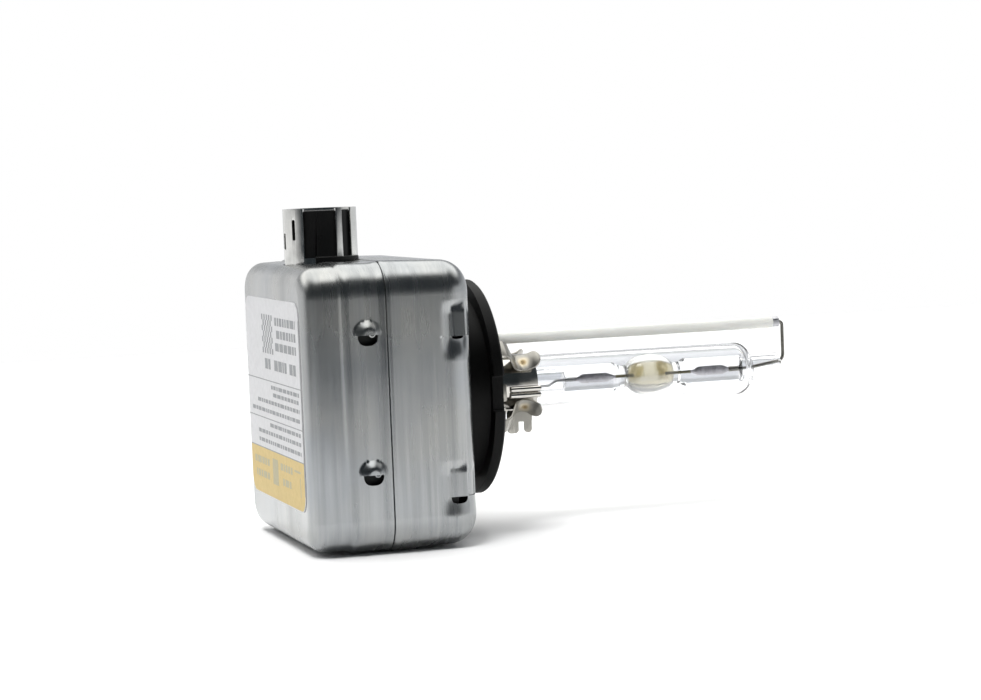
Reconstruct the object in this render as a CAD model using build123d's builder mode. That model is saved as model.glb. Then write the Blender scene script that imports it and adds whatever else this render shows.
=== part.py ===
from build123d import *

import os
from math import cos, radians, sin

# Gas-discharge headlight bulb with its igniter box, as separate pieces, in millimetres.
# The origin is on the burner's axis, in the plane of the base flange's front face.
# +X runs along the burner to its tip, +Z points to the plug socket, and the casing stands on its -Z side.

os.makedirs("parts", exist_ok=True)

# Burner
arc_centre = 27.1
arc_gap = 4.2
bulb_radius = 3.95
bulb_wall = 0.75
bulb_rear = 1.5
bulb_shoulder = 41.2
bulb_end = 43.4
stem_radius = 2.05
stem_bore = 1.25
stem_rear = -3.0
stem_front = 48.9
chamber_length = 7.1
chamber_radius = 1.4
arc_bulb_length = 7.9
arc_bulb_radius = 2.95
foil_length = 6.6
foil_width = 0.9
foil_thickness = 0.08
foil_point = 1.7
rear_foil_to_arc = 5.5
front_foil_to_arc = 6.6
electrode_radius = 0.15
lead_radius = 0.2
seal_length = 1.2
glass_gap = 0.02

# Return wire and its ceramic tube
return_height = 6.7
return_front = 49.3
return_radius = 0.25
return_bend = 0.55
ceramic_radius = 0.85
ceramic_bore = 0.32
ceramic_rear = -2.4
ceramic_front = 47.6
sleeve_radius = 0.75
sleeve_length = 1.0

# Base flange
rim_radius = 15.6
rim_thickness = 1.6
neck_radius = 13.6
collar_radius = 15.2
collar_thickness = 2.0
hub_radius = 8.6
hub_height = 1.0
core_pocket_inner = 9.4
core_pocket_outer = 12.2
notch_width = 5.0
notch_depth = 1.2

# Bracket and band
bracket_sheet = 0.3
arm_width = 2.9
arm_root_radius = 8.0
arm_straight = 1.3
arm_turn = 62
arm_outer_bend = 1.9
arm_inner_bend = 1.5
arm_flare_bend = 3.0
arm_flare_turn = 38
arm_lip = 1.2
arm_angles = (45, 135, 225, 315)
fork_arm_angle = 225
band_rear = 3.0
band_front = 8.6
band_sheet = 0.28
bead_radius = 0.42

# Casing
casing_middle = -0.6
casing_rear = -29.6
casing_front = -5.4
seam = -18.1
joggle = -23.7
front_half = 20.15
skirt_half = 20.0
cap_half = 19.8
corner_radius = 4.8
front_round = 3.8
rear_round = 2.6
seam_round = 0.25
sheet = 0.6
seam_gap = 0.15
lap_clearance = 0.05

# Snap hoods on the skirt and hooded tabs on the front can
snap_x = -20.8
snap_edges = (-9.5, 9.6)
snap_reach = 1.95
snap_rise = 0.85
snap_slot = 1.7
lap_window_half = 1.4
lap_window_height = 1.5
lower_tab = {"rear": -9.9, "front": -7.2, "edge": -13.45, "slot": 1.35}
upper_tab = {"rear": -8.8, "front": -6.65, "edge": 8.75, "slot": 0.7}
tab_height = 4.8
tab_rise = 0.3

# Plug socket
socket_x = -21.9
shield_radius = 5.25
shield_sheet = 0.35
shield_top = 26.9
insert_top = 26.6
socket_length = 7.0
socket_width = 4.3
socket_floor = 20.6
pin_radius = 0.4
pin_x_spacing = 5.8
pin_y_spacing = 2.4

# Igniter
tray_half = 18.5
tray_wall = 1.2
tray_rear = -27.0
tray_front = -8.4
tray_floor = 1.4
board_rear = -26.4
board_thickness = 1.0
transformer_x = -18.6
transformer_z = -10.2
core_radius = 3.0
core_length = 29.0
chamber_count = 6
flange_radius = 6.2
former_thickness = 0.8
former_length = 26.4

casing_top = casing_middle + front_half
board_front = board_rear + board_thickness


def bar(radius, start, stop, bore=0.0, height=0.0):
    """A round bar along X at a height above the burner's axis, with a bore if one is given."""
    with BuildPart() as made:
        with BuildSketch(Plane.YZ.offset(start)):
            with Locations((0, height)):
                Circle(radius)
                if bore:
                    Circle(bore, mode=Mode.SUBTRACT)
        extrude(amount=stop - start)
    return made.part


def casing_block(rear, front, half, rear_edge=0.0, front_edge=0.0):
    """A square bar along X with rounded corners, and with rounded edges at either end."""
    with BuildPart() as made:
        with BuildSketch(Plane.YZ.offset(rear)):
            with Locations((0, casing_middle)):
                RectangleRounded(2 * half, 2 * half, corner_radius - (front_half - half))
        extrude(amount=front - rear)
        if front_edge:
            fillet(made.faces().sort_by(Axis.X)[-1].edges(), front_edge)
        if rear_edge:
            fillet(made.faces().sort_by(Axis.X)[0].edges(), rear_edge)
    return made.part


def upright(radius, bottom, top):
    """A vertical cylinder on the plug socket's axis."""
    with BuildPart() as made:
        with BuildSketch(Plane.XY.offset(bottom)):
            with Locations((socket_x, 0)):
                Circle(radius)
        extrude(amount=top - bottom)
    return made.part


def block(low, high):
    """A box between two opposite corners."""
    size = [b - a for a, b in zip(low, high)]
    with BuildPart() as made:
        with Locations(low):
            Box(*size, align=(Align.MIN, Align.MIN, Align.MIN))
    return made.part


def side_block(side, x_range, depth_range, z_range):
    """A box on the near (-1) or far (+1) side of the casing, its depth counted outwards from the axis."""
    y_low, y_high = sorted(side * depth for depth in depth_range)
    return block((x_range[0], y_low, z_range[0]), (x_range[1], y_high, z_range[1]))


socket_opening = upright(shield_radius + 0.2, casing_top - 6, casing_top + 2)

# Rear cover: a cap whose skirt steps out to lie over the front can's lap
hood_radius = (snap_reach**2 + snap_rise**2) / (2 * snap_rise)
hood_sheet = 0.45
nub_radius = 0.45
nub_length = 0.65
slot_inset = 0.2


def half_dome(side, edge_z, radius):
    """The upper half of a ball that swells out of the skirt's side."""
    with BuildPart() as made:
        with Locations((snap_x, side * (skirt_half + snap_rise - hood_radius), edge_z)):
            Sphere(radius)
        split(bisect_by=Plane.XY.offset(edge_z), keep=Keep.TOP)
        skirt_side = Plane((0, side * (skirt_half - sheet / 2), 0), z_dir=(0, side, 0))
        split(bisect_by=skirt_side, keep=Keep.TOP)
    return made.part


def hood_hollow(side, edge_z):
    """The space under a snap hood and the slot below its edge."""
    with BuildPart() as made:
        with Locations((snap_x, side * (skirt_half + snap_rise - hood_radius), edge_z)):
            Sphere(hood_radius - hood_sheet)
        split(bisect_by=Plane.XY.offset(edge_z), keep=Keep.TOP)
        add(
            side_block(
                side,
                (snap_x - snap_reach + slot_inset, snap_x + snap_reach - slot_inset),
                (skirt_half - 2 * sheet, skirt_half + sheet),
                (edge_z - snap_slot, edge_z),
            )
        )
    return made.part


def hood_nub(side, edge_z):
    """The small formed stud at a hood's edge."""
    outer = skirt_half + snap_rise
    root = (snap_x + nub_radius, side * (outer - 0.5), edge_z + 0.1)
    with BuildPart() as made:
        with BuildSketch(Plane(root, z_dir=(0, side, 0))):
            Circle(nub_radius)
        extrude(amount=nub_length)
    return made.part


with BuildPart() as rear_cover:
    add(casing_block(casing_rear, joggle, cap_half, rear_edge=rear_round))
    add(casing_block(joggle, seam - seam_gap, skirt_half))
    add(
        casing_block(casing_rear + sheet, joggle + sheet / 2, cap_half - sheet, rear_edge=rear_round - sheet),
        mode=Mode.SUBTRACT,
    )
    add(casing_block(joggle + sheet / 2, seam, skirt_half - sheet), mode=Mode.SUBTRACT)
    for side in (-1, 1):
        for edge_z in snap_edges:
            add(half_dome(side, edge_z, hood_radius))
            add(hood_hollow(side, edge_z), mode=Mode.SUBTRACT)
            add(hood_nub(side, edge_z))
    add(socket_opening, mode=Mode.SUBTRACT)

# Front cover: a can whose lap slides inside the rear cover's skirt
lap_rear = joggle + sheet
lap_half = skirt_half - sheet - lap_clearance
tab_depth = 1.2


def tab_solid(side, tab):
    """A tab that leans out of the can's rounded front edge, towards its open lower end."""
    top = tab["edge"] + tab_height
    base = front_half - tab_depth
    with BuildPart() as made:
        with BuildSketch(Plane.YZ.offset(tab["rear"])):
            with BuildLine():
                Polyline(
                    (side * base, top),
                    (side * front_half, top),
                    (side * (front_half + tab_rise), tab["edge"]),
                    (side * base, tab["edge"]),
                    close=True,
                )
            make_face()
        extrude(amount=tab["front"] - tab["rear"])
    return made.part


def tab_hollow(side, tab):
    """The space behind a tab and the slot below its edge."""
    inner = front_half - 3 * tab_depth
    rear, front = tab["rear"] + sheet / 2, tab["front"] - sheet / 2
    edge = tab["edge"]
    with BuildPart() as made:
        behind = (inner, front_half - sheet / 2)
        add(side_block(side, (rear, front), behind, (edge, edge + tab_height - sheet)))
        through = (inner, front_half + 1)
        add(side_block(side, (rear, front), through, (edge - tab["slot"], edge)))
    return made.part


def lap_window(side, edge_z):
    """The window in the can's lap behind a snap hood's opening."""
    width = (snap_x - lap_window_half, snap_x + lap_window_half)
    depth = (lap_half - 2 * sheet, lap_half + sheet)
    return side_block(side, width, depth, (edge_z - lap_window_height, edge_z))


with BuildPart() as front_cover:
    add(casing_block(seam, casing_front, front_half, rear_edge=seam_round, front_edge=front_round))
    add(casing_block(lap_rear, seam + sheet, lap_half))
    for side in (-1, 1):
        for tab in (lower_tab, upper_tab):
            add(tab_solid(side, tab))
    add(
        casing_block(seam + sheet, casing_front - sheet, front_half - sheet, front_edge=front_round - sheet),
        mode=Mode.SUBTRACT,
    )
    add(casing_block(lap_rear, seam + sheet, lap_half - sheet), mode=Mode.SUBTRACT)
    for side in (-1, 1):
        for tab in (lower_tab, upper_tab):
            add(tab_hollow(side, tab), mode=Mode.SUBTRACT)
        for edge_z in snap_edges:
            add(lap_window(side, edge_z), mode=Mode.SUBTRACT)
    add(bar(neck_radius + 0.1, casing_front - 2 * sheet, casing_front + sheet), mode=Mode.SUBTRACT)
    add(socket_opening, mode=Mode.SUBTRACT)

# Label on the rear face
label_thickness = 0.12
label_width = 33.8
label_height = 28.9
label_middle = -0.15

with BuildPart() as rating_label:
    with BuildSketch(Plane.YZ.offset(casing_rear - label_thickness)):
        with Locations((0, label_middle)):
            RectangleRounded(label_width, label_height, 2.4)
    extrude(amount=label_thickness)

# Plug socket: a black insert on a square foot, inside a rolled collar that is open towards the near side
tray_top_inside = casing_middle + tray_half - tray_wall
foot_thickness = 1.5
foot_half = 5.4
insert_radius = shield_radius - shield_sheet - 0.1
window_bottom = casing_top + 0.4
window_angles = ((-130, -78), (-67, -47))
collar_slots = ((-149, 23.95, 0.6, 2.9), (-178, 22.35, 0.9, 2.3))


def pin_positions():
    """The four pins' places, at the corners of a rectangle on the socket's axis."""
    xs = (socket_x - pin_x_spacing / 2, socket_x + pin_x_spacing / 2)
    ys = (-pin_y_spacing / 2, pin_y_spacing / 2)
    return [(x, y) for x in xs for y in ys]


with BuildPart() as connector_housing:
    with BuildSketch(Plane.XY.offset(tray_top_inside - foot_thickness)):
        with Locations((socket_x, 0)):
            Rectangle(2 * foot_half, 2 * foot_half + 2)
    extrude(amount=foot_thickness)
    add(upright(insert_radius, tray_top_inside, insert_top))
    with BuildSketch(Plane.XY.offset(socket_floor)):
        with Locations((socket_x, 0)):
            RectangleRounded(socket_length, socket_width, 0.4)
    extrude(amount=insert_top - socket_floor, mode=Mode.SUBTRACT)
    with BuildSketch(Plane.XY.offset(tray_top_inside - foot_thickness)):
        with Locations(*pin_positions()):
            Circle(pin_radius + glass_gap)
    extrude(amount=socket_floor - tray_top_inside + foot_thickness, mode=Mode.SUBTRACT)

with BuildPart() as connector_pins:
    with BuildSketch(Plane.XY.offset(tray_top_inside - 3.5)):
        with Locations(*pin_positions()):
            Circle(pin_radius)
    extrude(amount=insert_top - 1.2 - (tray_top_inside - 3.5))
    chamfer(connector_pins.faces().group_by(Axis.Z)[-1].edges(), 0.15)

with BuildPart() as connector_shield:
    add(upright(shield_radius, tray_top_inside, shield_top))
    add(upright(shield_radius - shield_sheet, tray_top_inside, shield_top), mode=Mode.SUBTRACT)
    with BuildSketch(Plane.XY.offset(window_bottom)):
        reach = 3 * shield_radius
        for start, stop in window_angles:
            corners = [(reach * cos(radians(a)), reach * sin(radians(a))) for a in (start, stop)]
            with Locations((socket_x, 0)):
                Polygon((0, 0), *corners, align=None)
    extrude(amount=shield_top - window_bottom, mode=Mode.SUBTRACT)
    for angle, middle_z, width, height in collar_slots:
        outward = (cos(radians(angle)), sin(radians(angle)), 0)
        sideways = (-sin(radians(angle)), cos(radians(angle)), 0)
        with BuildSketch(Plane((socket_x, 0, middle_z), x_dir=sideways, z_dir=outward)):
            Rectangle(width, height)
        extrude(amount=2 * shield_radius, mode=Mode.SUBTRACT)

# Base flange: a stepped moulding round the burner's stem, hollow from behind
collar_front = casing_front - sheet - 0.05
collar_rear = collar_front - collar_thickness

with BuildPart() as base_flange:
    with BuildSketch(Plane.XZ):
        with BuildLine():
            Polyline(
                (collar_rear, 0),
                (collar_rear, collar_radius),
                (collar_front, collar_radius),
                (collar_front, neck_radius),
                (-rim_thickness, neck_radius),
                (-rim_thickness, rim_radius),
                (0, rim_radius),
                (0, hub_radius),
                (hub_height, hub_radius),
                (hub_height, 0),
                close=True,
            )
        make_face()
        with BuildLine():
            Polyline(
                (collar_rear, core_pocket_inner),
                (-rim_thickness - 0.3, core_pocket_inner),
                (-rim_thickness - 0.3, core_pocket_outer),
                (collar_rear, core_pocket_outer),
                close=True,
            )
        make_face(mode=Mode.SUBTRACT)
    revolve(axis=Axis.X)
    add(bar(stem_radius + 0.05, stem_rear - 0.1, hub_height), mode=Mode.SUBTRACT)
    add(bar(2 * lead_radius, collar_rear, stem_rear), mode=Mode.SUBTRACT)
    add(bar(ceramic_radius + 0.05, ceramic_rear, hub_height, height=return_height), mode=Mode.SUBTRACT)
    add(bar(return_radius + 0.1, collar_rear, ceramic_rear, height=return_height), mode=Mode.SUBTRACT)
    for angle in (-90, 90, 180):
        outward = Plane((0, 0, 0), x_dir=(1, 0, 0), z_dir=(0, cos(radians(angle)), sin(radians(angle))))
        with BuildSketch(outward.offset(rim_radius - notch_depth)):
            Rectangle(2 * rim_thickness, notch_width)
        extrude(amount=2 * notch_depth, mode=Mode.SUBTRACT)

# Burner band: a rolled strip round the outer bulb, closed by two rolled beads on the near side
band_inner = bulb_radius + 0.03
band_outer = band_inner + band_sheet
bead_distance = band_outer + bead_radius / 2
bead_angles = (187, 199)

with BuildPart() as burner_band:
    add(bar(band_outer, band_rear, band_front))
    with BuildSketch(Plane.YZ.offset(band_rear + 1.2)):
        for angle in bead_angles:
            with Locations((bead_distance * cos(radians(angle)), bead_distance * sin(radians(angle)))):
                Circle(bead_radius)
    extrude(amount=band_front - band_rear - 0.9)
    add(bar(band_inner, band_rear - 1, band_front + 1), mode=Mode.SUBTRACT)

# Mounting bracket: a ring on the hub with four leaf arms that touch the band and flare away from it
ring_front = hub_height + bracket_sheet
contact_radius = band_outer + bracket_sheet / 2 + 0.02
arm_drop = arm_root_radius - contact_radius
bend_drop = (arm_outer_bend + arm_inner_bend) * (1 - cos(radians(arm_turn)))
arm_slope_length = (arm_drop - bend_drop) / sin(radians(arm_turn))

with BuildPart() as leaf_arm:
    with BuildSketch(Plane.XZ):
        with BuildLine() as leaf_line:
            Line((hub_height, arm_root_radius), (hub_height + arm_straight, arm_root_radius))
            JernArc(leaf_line.line @ 1, (1, 0), arm_outer_bend, -arm_turn)
            PolarLine(leaf_line.wires()[0] @ 1, arm_slope_length, angle=-arm_turn)
            JernArc(leaf_line.wires()[0] @ 1, leaf_line.wires()[0] % 1, arm_inner_bend, arm_turn)
            JernArc(leaf_line.wires()[0] @ 1, (1, 0), arm_flare_bend, arm_flare_turn)
            PolarLine(leaf_line.wires()[0] @ 1, arm_lip, angle=arm_flare_turn)
        trace(line_width=bracket_sheet)
    extrude(amount=arm_width / 2, both=True)
    tip = leaf_arm.faces().sort_by(Axis.X)[-1]
    fillet(tip.edges().sort_by(SortBy.LENGTH)[:2], 0.45 * arm_width)

fork_rear = 3.7
fork_front = 7.4
fork_reach = 4.4
prongs = ((4.55, 1.65), (6.8, 1.15))
web_depth = 1.6
stop_tab_top = 0.4
stop_tab_bottom = -2.1
stop_tab_outer = -5.35
stop_tab_inner = -5.05

with BuildPart() as fork:
    with BuildSketch(Plane.XY.offset(contact_radius - bracket_sheet / 2)):
        with Locations(((fork_rear + fork_front) / 2, -arm_width / 2)):
            Rectangle(fork_front - fork_rear, web_depth, align=(Align.CENTER, Align.MAX))
        for prong_x, prong_width in prongs:
            with Locations((prong_x, -fork_reach / 2 - arm_width / 4)):
                SlotOverall(fork_reach, prong_width, rotation=90)
    extrude(amount=bracket_sheet)

with BuildPart() as mounting_bracket:
    add(bar(hub_radius - 0.2, hub_height, ring_front, bore=bulb_radius + 0.5))
    for angle in arm_angles:
        add(leaf_arm.part, rotation=(angle - 90, 0, 0))
    add(fork.part, rotation=(fork_arm_angle - 90, 0, 0))
    add(bar(ceramic_radius + 0.3, hub_height, ring_front, height=return_height), mode=Mode.SUBTRACT)
    add(
        block(
            (hub_height, stop_tab_outer, stop_tab_bottom),
            (band_rear + 0.4, stop_tab_inner, stop_tab_top),
        )
    )

# Lead wires
chamber_half = chamber_length / 2
foil_starts = {
    "rear": arc_centre - rear_foil_to_arc - foil_length,
    "front": arc_centre + front_foil_to_arc,
}
terminal_rear = -13.2
wire_end = -12.0
kink_drop = 0.7


def wire(route, radius, bend):
    """A round wire along a route of straight runs, with a bend at each corner."""
    with BuildPart() as made:
        with BuildLine() as path:
            FilletPolyline(*route, radius=bend)
        start = path.wires()[0]
        with BuildSketch(Plane(start @ 0, z_dir=start % 0)):
            Circle(radius)
        sweep()
    return made.part


with BuildPart() as rear_lead_wire:
    add(
        wire(
            (
                (wire_end, 0, 0),
                (4, 0, 0),
                (7, 0, -kink_drop),
                (11.1, 0, -kink_drop),
                (12.3, 0, 0),
                (foil_starts["rear"], 0, 0),
            ),
            lead_radius,
            0.6,
        )
    )

with BuildPart() as return_wire:
    add(
        wire(
            (
                (foil_starts["front"] + foil_length, 0, 0),
                (stem_front - 5.4, 0, 0),
                (return_front, 0, 0.9),
                (return_front, 0, return_height),
                (wire_end, 0, return_height),
            ),
            return_radius,
            return_bend,
        )
    )

with BuildPart() as ceramic_tube:
    add(bar(ceramic_radius, ceramic_rear, ceramic_front, bore=ceramic_bore, height=return_height))

with BuildPart() as wire_sleeve:
    add(
        bar(
            sleeve_radius,
            ceramic_front + 0.05,
            ceramic_front + 0.05 + sleeve_length,
            bore=return_radius + glass_gap,
            height=return_height,
        )
    )


# Arc tube: foils and electrodes sealed in quartz
def foil(start):
    """A thin strip on edge, with pointed ends."""
    stop = start + foil_length
    half = foil_width / 2
    tip = half / 2
    with BuildPart() as made:
        with BuildSketch(Plane.XZ.offset(-foil_thickness / 2)):
            with BuildLine():
                Polyline(
                    (start, tip),
                    (start + foil_point, half),
                    (stop - foil_point, half),
                    (stop, tip),
                    (stop, -tip),
                    (stop - foil_point, -half),
                    (start + foil_point, -half),
                    (start, -tip),
                    close=True,
                )
            make_face()
        extrude(amount=foil_thickness)
    return made.part


def spindle(half_length, radius):
    """An egg-shaped solid round the arc's centre."""
    with BuildPart() as made:
        with BuildSketch(Plane.XZ):
            with BuildLine():
                EllipticalCenterArc((arc_centre, 0), half_length, radius, start_angle=0, arc_size=180)
                Line((arc_centre - half_length, 0), (arc_centre + half_length, 0))
            make_face()
        revolve(axis=Axis.X)
    return made.part


with BuildPart() as rear_foil:
    add(foil(foil_starts["rear"]))

with BuildPart() as front_foil:
    add(foil(foil_starts["front"]))

with BuildPart() as rear_electrode:
    add(bar(electrode_radius, foil_starts["rear"] + foil_length, arc_centre - arc_gap / 2))

with BuildPart() as front_electrode:
    add(bar(electrode_radius, arc_centre + arc_gap / 2, foil_starts["front"]))

neck_offset = arc_bulb_length / 2 + 0.6
neck_length = 1.6
neck_depth = 0.45

with BuildPart() as arc_tube:
    add(bar(stem_radius, stem_rear, stem_front))
    for direction in (-1, 1):
        neck_middle = arc_centre + direction * neck_offset
        add(
            bar(
                stem_radius + 1,
                neck_middle - neck_length / 2,
                neck_middle + neck_length / 2,
                bore=stem_radius - neck_depth,
            ),
            mode=Mode.SUBTRACT,
        )
    add(spindle(arc_bulb_length / 2, arc_bulb_radius))
    add(spindle(chamber_half, chamber_radius), mode=Mode.SUBTRACT)
    add(bar(stem_bore, stem_rear, foil_starts["rear"] - seal_length), mode=Mode.SUBTRACT)
    add(bar(stem_bore, foil_starts["front"] + foil_length + seal_length, stem_front), mode=Mode.SUBTRACT)
    for sealed in (rear_foil, front_foil, rear_electrode, front_electrode):
        add(sealed.part, mode=Mode.SUBTRACT)
    add(bar(lead_radius, foil_starts["rear"] - seal_length, foil_starts["rear"]), mode=Mode.SUBTRACT)
    front_seal = foil_starts["front"] + foil_length
    add(bar(return_radius, front_seal, front_seal + seal_length), mode=Mode.SUBTRACT)

with BuildPart() as halide_deposit:
    add(spindle(chamber_half * 0.97, chamber_radius * 0.97))
    split(bisect_by=Plane.XY.offset(-0.62 * chamber_radius), keep=Keep.BOTTOM)

# Outer bulb: a thin envelope that closes onto the arc tube's stems at both ends
bulb_inner = bulb_radius - bulb_wall
closed_radius = stem_radius + glass_gap
bulb_lip = closed_radius + 0.3
rear_closing = 0.8
front_closing = 2.2
inside_front = bulb_end - bulb_wall
inside_shoulder = bulb_shoulder - 0.2
inside_rear = bulb_rear + 1.1

with BuildPart() as outer_bulb:
    with BuildSketch(Plane.XZ):
        with BuildLine():
            Line((bulb_rear, closed_radius), (bulb_rear, bulb_radius - rear_closing))
            RadiusArc(
                (bulb_rear, bulb_radius - rear_closing), (bulb_rear + rear_closing, bulb_radius), rear_closing
            )
            Line((bulb_rear + rear_closing, bulb_radius), (bulb_shoulder, bulb_radius))
            RadiusArc((bulb_shoulder, bulb_radius), (bulb_end, bulb_lip), front_closing)
            Line((bulb_end, bulb_lip), (bulb_end, closed_radius))
            Line((bulb_end, closed_radius), (inside_front, closed_radius))
            RadiusArc((inside_front, closed_radius), (inside_shoulder, bulb_inner), -0.82 * front_closing)
            Line((inside_shoulder, bulb_inner), (inside_rear + rear_closing, bulb_inner))
            Line((inside_rear + rear_closing, bulb_inner), (inside_rear, closed_radius))
            Line((inside_rear, closed_radius), (bulb_rear, closed_radius))
        make_face()
    revolve(axis=Axis.X)

# Igniter: a moulded tray, open to the rear, that holds the circuit and the transformer
tray_inner = tray_half - tray_wall
tray_floor_rear = tray_front - tray_floor
terminal_radius = 1.6
return_terminal_radius = 0.9
terminal_front = collar_rear - 0.1
socket_notch_length = 10

with BuildPart() as igniter_tray:
    add(casing_block(tray_rear, tray_front, tray_half))
    add(casing_block(tray_rear, tray_floor_rear, tray_inner), mode=Mode.SUBTRACT)
    add(bar(terminal_radius + 0.1, tray_floor_rear, tray_front), mode=Mode.SUBTRACT)
    add(
        bar(return_terminal_radius + 0.1, tray_floor_rear, tray_front, height=return_height),
        mode=Mode.SUBTRACT,
    )
    with BuildSketch(Plane.XY.offset(tray_top_inside - tray_wall)):
        with Locations((socket_x, 0)):
            Circle(shield_radius + 0.2)
            Rectangle(socket_notch_length, 2 * shield_radius + 0.4, align=(Align.MAX, Align.CENTER))
    extrude(amount=3 * tray_wall, mode=Mode.SUBTRACT)

with BuildPart() as high_voltage_terminal:
    add(bar(terminal_radius, terminal_rear, terminal_front, bore=lead_radius + 0.02))

with BuildPart() as return_terminal:
    add(
        bar(
            return_terminal_radius,
            terminal_rear,
            terminal_front,
            bore=return_radius + 0.02,
            height=return_height,
        )
    )

with BuildPart() as potting_layer:
    add(casing_block(tray_floor_rear - 1.8, tray_floor_rear, tray_inner - 0.02))
    add(bar(terminal_radius + 0.02, tray_floor_rear - 2, tray_floor_rear), mode=Mode.SUBTRACT)
    add(
        bar(return_terminal_radius + 0.02, tray_floor_rear - 2, tray_floor_rear, height=return_height),
        mode=Mode.SUBTRACT,
    )

board_top = 12.5
board_half = 16.8
board_bottom = casing_middle - board_half

with BuildPart() as circuit_board:
    with BuildSketch(Plane.YZ.offset(board_rear)):
        with Locations((0, (board_top + board_bottom) / 2)):
            RectangleRounded(2 * board_half, board_top - board_bottom, 2.0)
    extrude(amount=board_thickness)


def ring_across(radius, bore, middle_y, width, centre):
    """A ring or disc whose axis runs across the casing, along Y."""
    with BuildPart() as made:
        with BuildSketch(Plane.XZ.offset(-middle_y)):
            with Locations(centre):
                Circle(radius)
                if bore:
                    Circle(bore, mode=Mode.SUBTRACT)
        extrude(amount=width / 2, both=True)
    return made.part


def leg_to_board(start_x, y, z, radius=0.35):
    """A straight leg along X from a component to the board."""
    with BuildPart() as made:
        with BuildSketch(Plane.YZ.offset(board_front)):
            with Locations((y, z)):
                Circle(radius)
        extrude(amount=start_x - board_front)
    return made.part


# Transformer: a ferrite rod in a chambered former, with a winding in each chamber and straps round it
transformer = (transformer_x, transformer_z)
former_inner = core_radius + 0.05
former_outer = former_inner + former_thickness
chamber_pitch = (former_length - former_thickness) / chamber_count
flange_places = [chamber_pitch * (i - chamber_count / 2) for i in range(chamber_count + 1)]
chamber_places = [place + chamber_pitch / 2 for place in flange_places[:-1]]

with BuildPart() as transformer_core:
    add(ring_across(core_radius, 0, 0, core_length, transformer))

with BuildPart() as transformer_bobbin:
    add(ring_across(former_outer, 0, 0, former_length, transformer))
    for place in flange_places:
        add(ring_across(flange_radius, 0, place, former_thickness, transformer))
    for place in (flange_places[0], flange_places[-1]):
        add(
            block(
                (board_front, place - former_thickness / 2, transformer_z - 3),
                (transformer_x, place + former_thickness / 2, transformer_z + 3),
            )
        )
    add(ring_across(former_inner, 0, 0, former_length, transformer), mode=Mode.SUBTRACT)

with BuildPart() as secondary_winding:
    for place in chamber_places:
        add(
            ring_across(
                flange_radius - 0.5,
                former_outer + 0.05,
                place,
                chamber_pitch - former_thickness - 0.1,
                transformer,
            )
        )

with BuildPart() as primary_winding:
    for place in chamber_places[1:-1]:
        add(ring_across(flange_radius + 0.5, flange_radius + 0.05, place, 2.4, transformer))

# Spark gap, capacitor and resistor
spark_gap_middle = (9.0, 7.5)
spark_gap_radius = 3.2
spark_gap_length = 4.6
cap_radius = 2.7
cap_thickness = 0.9
resistor_middle = (9.0, 0.4)
resistor_radius = 1.1
resistor_length = 6.4
capacitor_rear = board_front + 0.8
capacitor_front = -13.4
capacitor_legs = (-13.0, -7.0)
capacitor_middle_z = 6.4

with BuildPart() as spark_gap_body:
    place = (transformer_x, spark_gap_middle[1])
    add(ring_across(spark_gap_radius, 0, spark_gap_middle[0], spark_gap_length, place))

with BuildPart() as spark_gap_caps:
    for direction in (-1, 1):
        cap_y = spark_gap_middle[0] + direction * (spark_gap_length + cap_thickness) / 2
        add(ring_across(cap_radius, 0, cap_y, cap_thickness, place))
        add(leg_to_board(transformer_x, cap_y, spark_gap_middle[1]))

with BuildPart() as ignition_capacitor:
    add(block((capacitor_rear, -15.5, 0.6), (capacitor_front, -4.6, 12.3)))
    fillet(ignition_capacitor.edges().filter_by(Axis.X), 0.6)
    for leg_y in capacitor_legs:
        add(leg_to_board(capacitor_rear, leg_y, capacitor_middle_z))

with BuildPart() as discharge_resistor:
    place = (transformer_x, resistor_middle[1])
    add(ring_across(resistor_radius, 0, resistor_middle[0], resistor_length, place))
    for direction in (-1, 1):
        end_y = resistor_middle[0] + direction * (resistor_length / 2 - 0.5)
        add(leg_to_board(transformer_x, end_y, resistor_middle[1]))

pieces = {
    "rear_cover": rear_cover,
    "front_cover": front_cover,
    "rating_label": rating_label,
    "connector_shield": connector_shield,
    "connector_housing": connector_housing,
    "connector_pins": connector_pins,
    "base_flange": base_flange,
    "mounting_bracket": mounting_bracket,
    "burner_band": burner_band,
    "outer_bulb": outer_bulb,
    "arc_tube": arc_tube,
    "rear_foil": rear_foil,
    "front_foil": front_foil,
    "rear_electrode": rear_electrode,
    "front_electrode": front_electrode,
    "halide_deposit": halide_deposit,
    "rear_lead_wire": rear_lead_wire,
    "return_wire": return_wire,
    "ceramic_tube": ceramic_tube,
    "wire_sleeve": wire_sleeve,
    "igniter_tray": igniter_tray,
    "circuit_board": circuit_board,
    "transformer_core": transformer_core,
    "transformer_bobbin": transformer_bobbin,
    "secondary_winding": secondary_winding,
    "primary_winding": primary_winding,
    "spark_gap_body": spark_gap_body,
    "spark_gap_caps": spark_gap_caps,
    "ignition_capacitor": ignition_capacitor,
    "discharge_resistor": discharge_resistor,
    "high_voltage_terminal": high_voltage_terminal,
    "return_terminal": return_terminal,
    "potting_layer": potting_layer,
}

for name, piece in pieces.items():
    piece.part.label = name
    export_step(piece.part, f"parts/{name}.step")
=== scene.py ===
import math
import random
from collections import namedtuple

import bmesh
import bpy
from mathutils import Matrix, Vector, noise


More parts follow.
